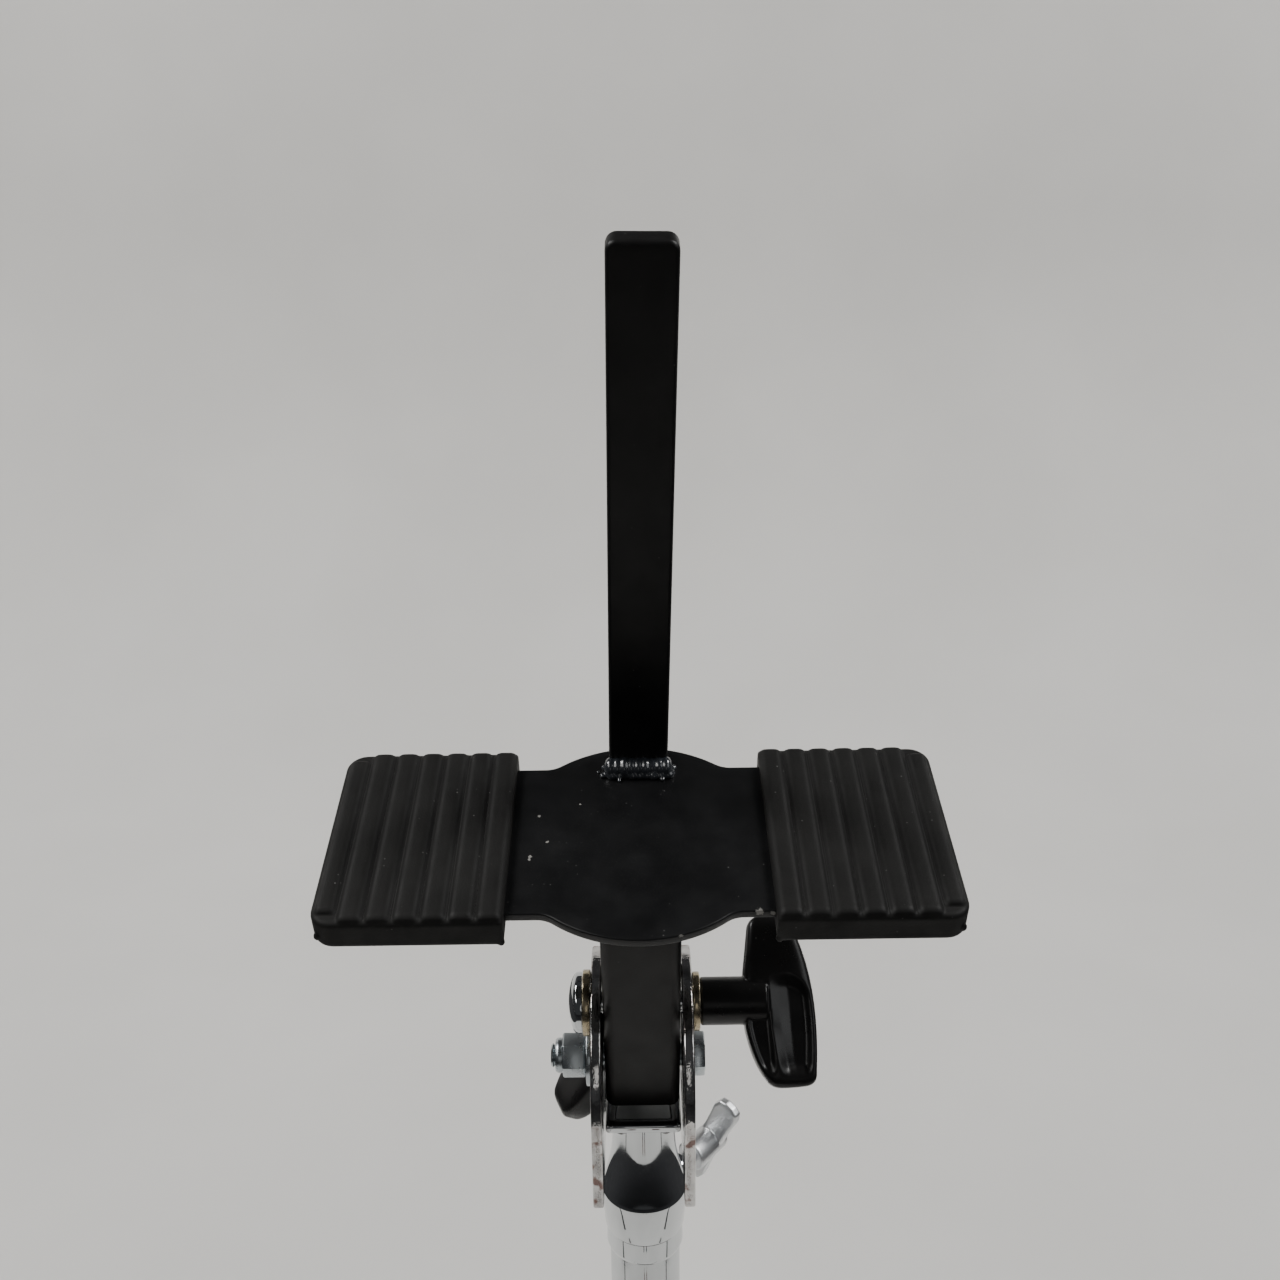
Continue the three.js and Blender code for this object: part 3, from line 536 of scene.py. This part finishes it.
def rib(x, half_width, length, crest, depth):
    """One rounded rib along Y, its ends falling away."""
    verts, faces = [], []
    stations = [-1 + 2 * i / 90 for i in range(91)]
    across = 14
    for t in stations:
        y = t * length
        fall = max(0.0, (abs(y) - (length - 2.6)) / 2.6)
        drop = 2.6 * (1 - math.sqrt(max(0.0, 1 - fall * fall)))
        for k in range(across + 1):
            u = -half_width + 2 * half_width * k / across
            sag = depth * abs(u / half_width) ** 4.0
            verts.append((x + u, y, crest - sag - drop))
        verts.append((x + half_width, y, crest - 5.5))
        verts.append((x - half_width, y, crest - 5.5))
    ring = across + 3
    for i in range(len(stations) - 1):
        for k in range(ring):
            n = (k + 1) % ring
            faces.append((i * ring + k, i * ring + n, (i + 1) * ring + n, (i + 1) * ring + k))
    faces.append(tuple(range(ring))[::-1])
    faces.append(tuple((len(stations) - 1) * ring + k for k in range(ring)))
    return mesh_from("rib", verts, faces)


def sleeve(name, side, node):
    """Rubber sleeve: a rounded slab with seven rounded ribs, hollow for the arm."""
    corners = rect(SLEEVE_IN, SLEEVE_OUT, -SLEEVE_HALF, SLEEVE_HALF)
    outline = round_corners(corners, [0.8, 6.4, 6.4, 0.8], 10)
    pieces = [slab("s", [outline], SLEEVE_BOTTOM, SLEEVE_TOP - 1.6, 1.5, 4)]
    ribs = 7
    pitch = (SLEEVE_OUT - SLEEVE_IN) / ribs
    for i in range(ribs):
        x = SLEEVE_IN + (i + 0.5) * pitch
        outermost = i == ribs - 1
        short = 3.2 if outermost else 0.15
        wide = pitch / 2 - (0.55 if outermost else 0.0)
        pieces.append(rib(x - (0.5 if outermost else 0.0), wide, SLEEVE_HALF - short, SLEEVE_TOP, 1.9))
    # moulding burrs at the front corners
    pieces.append(blob(SLEEVE_OUT - 1.9, -SLEEVE_HALF + 1.7, SLEEVE_BOTTOM + 3.4, 1.1, 0.8, 1.5))
    pieces.append(blob(SLEEVE_IN + 0.8, -SLEEVE_HALF + 0.7, SLEEVE_BOTTOM + 1.2, 1.1, 0.8, 1.5))
    mesh = joined(name, *pieces)
    if side < 0:
        mesh.transform(Matrix.Scale(-1, 4, (1, 0, 0)))
        mesh.flip_normals()
    obj = new_object(name, mesh)
    m = obj.modifiers.new("melt", "REMESH")
    m.mode = "VOXEL"
    m.voxel_size = 0.36 * MM
    s = obj.modifiers.new("soft", "SMOOTH")
    s.factor = 0.5
    s.iterations = 2
    baked(obj)
    pocket = slab("pocket", [rect(SLEEVE_IN - 4, ARM_END + 0.25, -ARM_HALF - 0.25, ARM_HALF + 0.25, 4.8)],
                  PLATE_TOP - PLATE_THICK - 0.25, PLATE_TOP + 0.25, 0.1, 1)
    if side < 0:
        pocket.transform(Matrix.Scale(-1, 4, (1, 0, 0)))
        pocket.flip_normals()
    tool = new_object("tool", pocket)
    cut = obj.modifiers.new("cut", "BOOLEAN")
    cut.operation = "DIFFERENCE"
    cut.object = tool
    cut.solver = "EXACT"
    baked(obj)
    bpy.data.objects.remove(tool)
    smooth(obj.data, 50)
    obj.matrix_world = HEAD
    return dress(obj, M_RUBBER, node)


sleeve("sleeve_left_ribbed", -1, "rubber_sleeve_left")
sleeve("sleeve_right_ribbed", 1, "rubber_sleeve_right")


def block_tube():
    h = BLOCK / 2
    i = h - BLOCK_WALL
    mesh = slab("block_tube", [rect(-h, h, -h, h, 3.6, 12), rect(-i, i, -i, i, 1.6, 6)],
                BLOCK_LOW, PLATE_TOP - PLATE_THICK - GAP, 0.45, 3)
    return mesh


dress(new_object("block_tube", block_tube(), HEAD), M_BLOCK, "pivot_block")


# ---- the tilt bolt and its washers
def washer_mesh(inner, outer, x0, x1):
    return along_x(turned("washer", soften([(inner, x0), (outer, x0), (outer, x1), (inner, x1)], 0.35)))


def threads(r, x0, x1, pitch=1.25):
    """The run of a screw: fine V grooves turned on a rod."""
    profile = [(0, x0)]
    x = x0
    while x < x1 - pitch:
        profile += [(r - 0.55, x + 0.05), (r, x + pitch * 0.45), (r, x + pitch * 0.6), (r - 0.55, x + pitch)]
        x += pitch
    profile += [(r, x1), (0, x1)]
    return turned("threads", profile, 64)


def bolt_head():
    seat = SIDE_OUT + GAP + 2.4 + GAP
    prof = [(0, 0), (10, 0), (10, 1.3)]
    prof += [(10 * math.cos(math.radians(a)), 1.3 + 3.3 * math.sin(math.radians(a))) for a in range(8, 90, 8)]
    prof += [(0, 4.6)]
    dome = turned("dome", prof)
    dome.transform(Matrix.Rotation(math.radians(-90), 4, "Y"))
    shifted(dome, x=-seat)
    start, end = -seat - 0.4, SIDE_OUT + 17
    shank = along_x(turned("shank", [(0, start), (4, start), (4, end), (0, end)], 64))
    return shifted(joined("clamp_bolt_dome", dome, shank), z=CLAMP_R)


dress(new_object("clamp_bolt_dome", bolt_head(), HEAD), M_CHROME, "clamp_bolt")
x = SIDE_OUT + GAP
left_washer = shifted(washer_mesh(4.3, 10.8, -x - 2.4, -x), z=CLAMP_R)
dress(new_object("washer_left_yellow", left_washer, HEAD), M_BRASS, "clamp_washer_left")
right_washer = shifted(washer_mesh(4.3, 9.6, x, x + 2.2), z=CLAMP_R)
dress(new_object("washer_right_yellow", right_washer, HEAD), M_BRASS, "clamp_washer_right")


def bent(a, b, c, n=8):
    """Points of a curve from a to c that is pulled towards b."""
    out = []
    for k in range(1, n + 1):
        t = k / n
        weights = ((1 - t) ** 2, 2 * t * (1 - t), t * t)
        out.append(tuple(sum(w * p[axis] for w, p in zip(weights, (a, b, c))) for axis in (0, 1)))
    return out


def handle_outline():
    """The crossbar from the front, x away from the bolt: the pull and the end of each bend in turn."""
    bends = (
        ((16.5, -20), (21, -25.5)), ((22.5, -28), (26, -28)), ((30, -28), (34, -27.5)),
        ((37.6, -27), (37.4, -23)), ((39.5, 0), (34.5, 16)), ((32, 24), (29, 27)),
        ((27, 28.5), (23, 28)), ((17, 27.5), (16.5, 24)), ((15.5, 16), (14.5, 9)),
    )
    points = [(14.5, -9)]
    for pull, end in bends:
        points += bent(points[-1], pull, end)
    return points


def span_at(outline, z):
    """The least and greatest x of a closed outline at height z."""
    hits = []
    for i in range(len(outline)):
        (x0, z0), (x1, z1) = outline[i - 1], outline[i]
        if (z0 - z) * (z1 - z) <= 0 and z0 != z1:
            hits.append(x0 + (x1 - x0) * (z - z0) / (z1 - z0))
    return min(hits), max(hits)


def step(a, b, x):
    t = max(0.0, min(1.0, (x - a) / (b - a)))
    return t * t * (3 - 2 * t)


def scoop(x, z, left, right):
    """How deep the two finger scoops are at a point of the lower wing's front face."""
    ridge = 23.4 - z * 0.055
    crest = 9.0 - ((x - ridge - 4.5) / 6.0) ** 2 * 2.6
    ends = step(-25.6, -20.0, z) * step(crest, crest - 5.4, z)
    wide = step(ridge + 0.3, ridge + 4.6, x) * step(right - 0.7, right - 4.2, x) * ends
    slim = step(left + 0.7, left + 2.6, x) * step(ridge - 0.2, ridge - 2.4, x)
    slim *= step(-25.0, -19.5, z) * step(6.5, 1.5, z)
    return 2.5 * wide + 1.5 * slim


def crossbar():
    """The wing of a T-handle, scooped on the front of one side and the back of the other."""
    outline = handle_outline()
    low = min(z for _, z in outline) + 0.02
    high = max(z for _, z in outline) - 0.02
    rows, around = 190, 220
    verts, faces = [], []
    for i in range(rows + 1):
        t = -math.cos(math.pi * i / rows)
        z = (low + high) / 2 + t * (high - low) / 2
        left, right = span_at(outline, z)
        mid, half = (left + right) / 2, (right - left) / 2
        end = max(0.0, 1 - abs(t) ** 9) ** 0.5
        deep = 6.2 * (0.35 + 0.65 * end) * (1 - 0.16 * t * t)
        for k in range(around):
            a = 2 * math.pi * k / around
            c, d = math.cos(a), math.sin(a)
            x = mid + half * math.copysign(abs(c) ** 0.36, c)
            y = deep * math.copysign(abs(d) ** 0.36, d)
            if abs(y) > deep * 0.5:
                if y < 0:
                    y += scoop(x, z, left, right)
                else:
                    y -= scoop(x, -z, left, right)
            verts.append((x, y, z))
    for i in range(rows):
        for k in range(around):
            n = (k + 1) % around
            faces.append((i * around + k, i * around + n, (i + 1) * around + n, (i + 1) * around + k))
    faces.append(tuple(range(around))[::-1])
    faces.append(tuple(rows * around + k for k in range(around)))
    return mesh_from("crossbar", verts, faces)


def handle_mesh():
    """T-handle: a round hub that runs into a flat crossbar with finger scoops."""
    hub = along_x(turned("hub", soften([(0, 0), (7.85, 0), (7.85, 22), (0, 22)], 0.5), 96))
    return joined("handle", crossbar(), hub)


def handle(name, place, look, node):
    obj = fused(name, handle_mesh(), 0.33, 4, 0.5, FLOOR, 55)
    obj.matrix_world = place
    return dress(obj, look, node)


def aimed(azimuth, z):
    return TILTER @ Matrix.Translation((0, 0, z * MM)) @ Matrix.Rotation(math.radians(azimuth), 4, "Z")


def turn_x(angle):
    return Matrix.Rotation(math.radians(angle), 4, "X")


KNOB_AT = Matrix.Translation(((SIDE_OUT + GAP + 2.2 + GAP) * MM, 0, CLAMP_R * MM))
LOCK_AT = Matrix.Translation(((LOCK_BOSS + GAP) * MM, 0, 0))
handle("tilt_knob_moulded", HEAD @ KNOB_AT @ turn_x(KNOB_TURN), M_PLASTIC, "tilt_knob")
handle("lock_knob_moulded", aimed(LOCK_AZ, LOCK_Z) @ LOCK_AT @ turn_x(LOCK_TURN), M_PLASTIC, "lock_knob")
lock_thread = along_x(threads(4, 9.8, LOCK_BOSS + 11))
dress(new_object("lock_screw_thread", lock_thread, aimed(LOCK_AZ, LOCK_Z)), M_ZINC, "lock_screw")


# ---- tilter bracket
def side_plate(name, side, node):
    """A stamped quadrant with a curved slot for the clamp bolt and a round hole for the pivot bolt."""
    back = math.degrees(math.acos(SIDE_REAR / SIDE_R))
    outer = [(-SIDE_R, SIDE_LOW + 1.0), (-SIDE_R + 1.0, SIDE_LOW), (2, SIDE_LOW), (SIDE_REAR, -12)]
    outer += [(SIDE_REAR, SIDE_R * math.sin(math.radians(back)) - 1.5)]
    outer += arc(0, 0, SIDE_R, back + 1.5, 180, 72)
    half = 4.35
    f, b = 90 + SLOT_FRONT + 0.5, 90 + SLOT_BACK - 0.5
    slot = arc(0, 0, CLAMP_R + half, b, f, 48)
    fx, fy = CLAMP_R * math.cos(math.radians(f)), CLAMP_R * math.sin(math.radians(f))
    slot += arc(fx, fy, half, f, f + 180, 12)[1:-1]
    slot += arc(0, 0, CLAMP_R - half, f, b, 48)
    bx, by = CLAMP_R * math.cos(math.radians(b)), CLAMP_R * math.sin(math.radians(b))
    slot += arc(bx, by, half, b + 180, b + 360, 12)[1:-1]
    hole = arc(0, 0, 4.3, 0, 360, 48)[:-1]
    mesh = slab(name, [outer, slot, hole], 0, SIDE_THICK, 0.7, 4)
    mesh.transform(Matrix(((0, 0, 1, 0), (1, 0, 0, 0), (0, 1, 0, 0), (0, 0, 0, 1))))
    shifted(mesh, x=SIDE_IN)
    if side < 0:
        mesh.transform(Matrix.Scale(-1, 4, (1, 0, 0)))
        mesh.flip_normals()
    return dress(new_object(name, mesh, TILTER, 40), M_EDGE, node)


side_plate("side_plate_left_stamped", -1, "side_plate_left")
side_plate("side_plate_right_stamped", 1, "side_plate_right")

web = slab("web_body", [rect(-13.0, 13.0, -15.2, 15.2, 1.5)], -21, -18, 0.7, 4)
dress(new_object("web_body", web, TILTER), M_CHROME, "bracket_web")


def socket_mesh():
    # height and slope in degrees down the neck, which flares like a trumpet
    tilts = ((-21.3, 0.3), (-26, 0.8), (-30, 1.5), (-34, 2.8), (-37, 4.5), (-40, 7.5),
             (-43, 11.0), (-46, 14.0), (-49, 15.0), (-52, 16.5), (-55, 17.5))
    r = 10.9
    shoulder = [(r, tilts[0][0])]
    for (z0, a0), (z1, a1) in zip(tilts, tilts[1:]):
        for k in (1, 2, 3):
            slope = a0 + (a1 - a0) * (k - 0.5) / 3
            r += (z0 - z1) / 3 * math.tan(math.radians(slope))
            shoulder.append((r, z0 + (z1 - z0) * k / 3))
    shoulder += [(15.42, -55.7), (15.42, -56.5), (15.35, -58.3), (14.35, -70.6), (14.1, -71.3)]
    inner = [(13.0, -71.3), (13.0, -57.4), (9.8, -57.4), (9.8, -26.3), (0, -26.3), (0, -21.3)]
    skin = turned("skin", shoulder + inner, 160)
    lock = along_x(turned("lock", soften([(4.3, 9.9), (6, 9.9), (6, LOCK_BOSS), (4.3, LOCK_BOSS)], 0.5), 64))
    lock.transform(Matrix.Translation((0, 0, LOCK_Z * MM)) @ Matrix.Rotation(math.radians(LOCK_AZ), 4, "Z"))
    grip_side = soften([(3.3, 13.2), (6, 13.2), (6, WING_BOSS), (3.3, WING_BOSS)], 0.5)
    grip = along_x(turned("grip", grip_side, 64))
    grip.transform(Matrix.Translation((0, 0, WING_Z * MM)) @ Matrix.Rotation(math.radians(WING_AZ), 4, "Z"))
    return joined("socket_body", skin, lock, grip)


dress(new_object("socket_body", socket_mesh(), TILTER, 30), M_CHROME, "head_socket")


def pivot_bolt_mesh():
    head = prism(6, 13, SIDE_OUT + GAP, SIDE_OUT + GAP + 4.4, 0.6)
    along_x(head)
    head.transform(Matrix.Rotation(math.radians(30), 4, "X"))
    shank = along_x(turned("s", [(0, -18), (4, -18), (4, 18), (0, 18)], 64))
    return joined("pivot_bolt_hex", head, shank, along_x(threads(4, -31.6, -17.5)))


def pivot_nut_mesh():
    x0 = -SIDE_OUT - 2 * GAP - 2.2
    nut = along_x(prism(6, 13, x0 - 8.0, x0, 0.8))
    nut.transform(Matrix.Rotation(math.radians(30), 4, "X"))
    end, inside = x0 - 10.4, x0 - 7.5
    profile = [(4.1, end), (5.4, end), (5.9, x0 - 9.4), (5.9, inside), (4.1, inside)]
    return joined("pivot_nut_locking", nut, along_x(turned("c", soften(profile, 0.4), 96)))


dress(new_object("pivot_bolt_hex", pivot_bolt_mesh(), TILTER, 30), M_ZINC, "pivot_bolt")
dress(new_object("pivot_nut_locking", pivot_nut_mesh(), TILTER, 30), M_ZINC, "pivot_nut")
pivot_washer = washer_mesh(4.3, 10.3, -SIDE_OUT - GAP - 2.2, -SIDE_OUT - GAP)
dress(new_object("pivot_washer_zinc", pivot_washer, TILTER), M_ZINC, "pivot_washer")


def wing_mesh(x0, x1):
    """A flat wing across a round hub."""
    half = 22.5
    right = [(5.4, -half + 4.6), (5.05, -13), (4.8, -8), (4.9, 0), (4.8, 8), (5.05, 13), (5.4, half - 4.6)]
    right += [(4.2, half - 1.0), (1.6, half)]
    outline = right + [(-x, z) for x, z in reversed(right)]
    outline += [(-4.2, -half + 1.0), (-1.6, -half), (1.6, -half), (4.2, -half + 1.0)]
    wings = slab("wings", [round_corners(outline, 1.2, 4)], x1 + 11.1, x1 + 14.9, 1.0, 3)
    wings.transform(Matrix(((0, 0, 1, 0), (1, 0, 0, 0), (0, 1, 0, 0), (0, 0, 0, 1))))
    hub = soften([(0, x1), (5.9, x1), (5.6, x1 + 16.4), (4.4, x1 + 18), (0, x1 + 18)], 0.8)
    return joined("wings", wings, along_x(turned("boss", hub, 64)))


def wing_screw(name, x0, x1, place, node):
    obj = fused(name, wing_mesh(x0, x1), 0.32, 5, 0.5)
    rod = along_x(threads(3, x0, x1 + 1, 1.0))
    obj.data = joined(name, obj.data, rod)
    smooth(obj.data, 45)
    obj.matrix_world = place
    return dress(obj, M_CAST, node)


socket_wing_at = aimed(WING_AZ, WING_Z) @ turn_x(WING_TURN)
wing_screw("socket_wing_cast", 13.0, WING_START, socket_wing_at, "socket_wing_screw")
height_wing_at = Matrix.Translation((0, CLAMP_EAR_Y * MM, CLAMP_MID * MM))
wing_screw("height_wing_cast", -13, 8.8, height_wing_at, "height_wing_screw")
hub_wing_at = Matrix.Translation((0, 0, LEG_HUB_Z * MM)) @ Matrix.Rotation(math.radians(HUB_WING_AZ), 4, "Z")
wing_screw("hub_wing_cast", 14.6, 24.3, hub_wing_at, "hub_wing_screw")


# ---- tubes
def pipe(name, inner, outer, z0, z1, node, look, r=0.4):
    mesh = turned(name, soften([(inner, z0), (outer, z0), (outer, z1), (inner, z1)], r), 160)
    return dress(new_object(name, mesh, FLOOR, 30), look, node)


lo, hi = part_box("upper_tube")
pipe("upper_tube_drawn", 11.3, 12.7, lo.z / MM, hi.z / MM, "upper_tube", M_CHROME)
lo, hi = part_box("lower_tube")
pipe("lower_tube_drawn", 13.0, 14.3, lo.z / MM, hi.z / MM, "lower_tube", M_CHROME)
lo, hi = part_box("stop_ring")
foot, top = lo.z / MM, hi.z / MM
ring_side = [(13.0, foot), (13.4, foot), (13.9, foot + 1.6), (13.6, top - 0.4), (13.4, top), (13.0, top)]
mesh = turned("stop_ring_rolled", soften(ring_side, 0.5), 160)
dress(new_object("stop_ring_rolled", mesh, FLOOR, 30), M_CHROME, "stop_ring")


def cast(node, voxel, rounds, look, name):
    """A cast or moulded skin over a CAD solid: the same form with softened edges."""
    copy = nodes[node].data.copy()
    obj = fused(name, copy, voxel, rounds)
    return dress(obj, look, node)


cast("height_clamp", 0.4, 4, M_CHROME, "height_clamp_cast")
cast("leg_hub", 0.45, 4, M_CHROME, "leg_hub_cast")
cast("foot_hub", 0.45, 4, M_CHROME, "foot_hub_cast")
for i in (1, 2, 3):
    cast(f"leg_foot_{i}", 0.5, 6, M_RUBBER, f"foot_{i}_moulded")


def strip(long, wide, thick, hole, bevel):
    """A flat bar with round ends, pierced at its start and where a brace's far pin goes."""
    r = wide / 2
    outline = arc(0, 0, r, 90, 270, 24) + arc(long, 0, r, -90, 90, 24)
    loops = [outline, arc(0, 0, hole, 0, 360, 32)[:-1], arc(BRACE_LONG, 0, hole, 0, 360, 32)[:-1]]
    return slab("strip", loops, -thick / 2, thick / 2, bevel, 3)


for i, az in enumerate(LEG_AZIMUTHS, 1):
    spin = Matrix.Rotation(math.radians(az), 4, "Z")
    up = Matrix.Rotation(math.radians(90), 4, "X")
    slope = math.radians(90 - LEG_ANGLE)
    leg_at = Matrix.Translation((HUB_PIVOT_R * MM, 0, LEG_HUB_Z * MM)) @ Matrix.Rotation(slope, 4, "Y")
    dress(new_object(f"leg_{i}_strip", strip(272, 16, 5, 3, 0.8), spin @ leg_at @ up), M_CHROME, f"leg_{i}")
    brace_foot = Matrix.Translation((HUB_PIVOT_R * MM, BRACE_SIDE * MM, FOOT_HUB_Z * MM))
    brace_at = brace_foot @ Matrix.Rotation(-slope, 4, "Y")
    brace = strip(BRACE_LONG, 13, 3, 3, 0.5)
    dress(new_object(f"brace_{i}_strip", brace, spin @ brace_at @ up), M_CHROME, f"brace_{i}")


# ---- floor, backdrop and light, in metres
def sweep():
    """A pale floor that curves up into a wall behind the stand."""
    verts, faces = [], []
    profile = [(-1.15, 0.0), (1.2, 0.0)]
    profile += arc(1.2, 0.8, 0.8, -85, 0, 17)
    profile += [(2.0, 4.0)]
    for y, z in profile:
        verts += [(-3.2, y, z), (3.2, y, z)]
    for i in range(len(profile) - 1):
        faces.append((2 * i, 2 * i + 1, 2 * i + 3, 2 * i + 2))
    obj = new_object("studio_sweep", mesh_from("studio_sweep", verts, faces, 1.0))
    paper = finish("studio_paper", (0.66, 0.65, 0.63), 0.9, variation=0.03, grain=30.0, bump=0.03,
                   rough_spread=0.03, smudge=3.0)
    obj.data.materials.append(paper)


def flag(name, corners, look, faces=((0, 1, 2, 3),)):
    """A card that only shiny surfaces see, as photographers use to draw lines on chrome."""
    obj = new_object(name, mesh_from(name, corners, list(faces), 1.0))
    obj.data.materials.append(look)
    obj.visible_camera = False
    obj.visible_diffuse = False
    obj.visible_shadow = False


def floor_strip(azimuth, r0, r1, half):
    """A narrow card on the floor that points at the stand."""
    a = math.radians(azimuth)
    along = Vector((math.cos(a), math.sin(a), 0))
    side = Vector((-math.sin(a), math.cos(a), 0))
    up = Vector((0, 0, 0.004))
    return [tuple(along * r + side * w + up) for r, w in ((r0, -half), (r1, -half), (r1, half), (r0, half))]


CARD_Z = 0.003


def card(x0, x1, y0, y1):
    return [(x0, y0, CARD_Z), (x1, y0, CARD_Z), (x1, y1, CARD_Z), (x0, y1, CARD_Z)]


def floor_ring(across, front, back, outer, n=120):
    """A round card on the floor with an oval opening, as vertices and faces."""
    turns = [2 * math.pi * k / n for k in range(n)]
    verts = [(across * math.cos(a), (front if math.sin(a) < 0 else back) * math.sin(a), CARD_Z) for a in turns]
    verts += [(outer * math.cos(a), outer * math.sin(a), CARD_Z) for a in turns]
    return verts, [(k, (k + 1) % n, n + (k + 1) % n, n + k) for k in range(n)]


sweep()
M_FLAG = finish("dark_card", (0.012, 0.012, 0.014), 0.8, smudge=5.0)
M_BROWN = finish("brown_card", (0.11, 0.045, 0.03), 0.8, smudge=5.0)
M_BLUE = finish("blue_card", (0.012, 0.016, 0.035), 0.8, smudge=5.0)
flag("line_left", floor_strip(203, 0.35, 1.1, 0.018), M_FLAG)
flag("line_right", floor_strip(337, 0.35, 1.1, 0.018), M_FLAG)
flag("wall_high", [(-3.1, 1.95, 1.5), (3.1, 1.95, 1.5), (3.1, 1.95, 4.0), (-3.1, 1.95, 4.0)], M_FLAG)
ring, ring_faces = floor_ring(0.73, 0.92, 0.95, 3.1)
flag("floor_ring", ring, M_FLAG, ring_faces)
CARD_HALF = 0.014
for side in (-1, 1):
    brown_x, blue_x = 0.046 * side, 0.044 * side
    flag(f"edge_brown_{side + 2}", card(brown_x - CARD_HALF, brown_x + CARD_HALF, -0.79, -0.715), M_BROWN)
    flag(f"edge_blue_{side + 2}", card(blue_x - CARD_HALF, blue_x + CARD_HALF, -0.715, -0.66), M_BLUE)


def lamp(name, size, power, at, aim, colour, size_y):
    data = bpy.data.lights.new(name, "AREA")
    data.shape = "RECTANGLE"
    data.size = size
    data.size_y = size_y
    data.energy = power
    data.color = colour
    obj = bpy.data.objects.new(name, data)
    bpy.context.scene.collection.objects.link(obj)
    obj.location = at
    obj.rotation_euler = (Vector(aim) - Vector(at)).to_track_quat("-Z", "Y").to_euler()


lamp("key", 1.3, 15, (-1.5, -0.9, 2.1), (0, 0, 0.7), (1.0, 0.99, 0.97), 1.0)
lamp("fill", 1.2, 7, (1.6, -0.8, 1.7), (0, 0, 0.6), (0.97, 0.99, 1.0), 1.2)
lamp("front_strip", 0.3, 0.4, (0, -1.6, 1.05), (0, 0, 0.6), (1.0, 0.98, 0.95), 0.6)
lamp("wash_left", 1.6, 75, (-2.2, 0.5, 3.0), (-0.2, 1.9, 0.5), (1.0, 0.995, 0.985), 1.0)
lamp("wash_right", 1.6, 75, (2.2, 0.5, 3.0), (0.2, 1.9, 0.5), (1.0, 0.995, 0.985), 1.0)

# the room is dim in reflections and for light, and plain pale grey where the camera sees past the paper
world = bpy.data.worlds.new("studio")
bpy.context.scene.world = world
world.use_nodes = True
tree = world.node_tree
room = tree.nodes["Background"]
room.inputs["Color"].default_value = (0.80, 0.82, 0.85, 1)
room.inputs["Strength"].default_value = 0.05
seen = tree.nodes.new("ShaderNodeBackground")
seen.inputs["Color"].default_value = (0.50, 0.49, 0.48, 1)
path = tree.nodes.new("ShaderNodeLightPath")
pick = tree.nodes.new("ShaderNodeMixShader")
tree.links.new(path.outputs["Is Camera Ray"], pick.inputs[0])
tree.links.new(room.outputs["Background"], pick.inputs[1])
tree.links.new(seen.outputs["Background"], pick.inputs[2])
tree.links.new(pick.outputs["Shader"], tree.nodes["World Output"].inputs["Surface"])
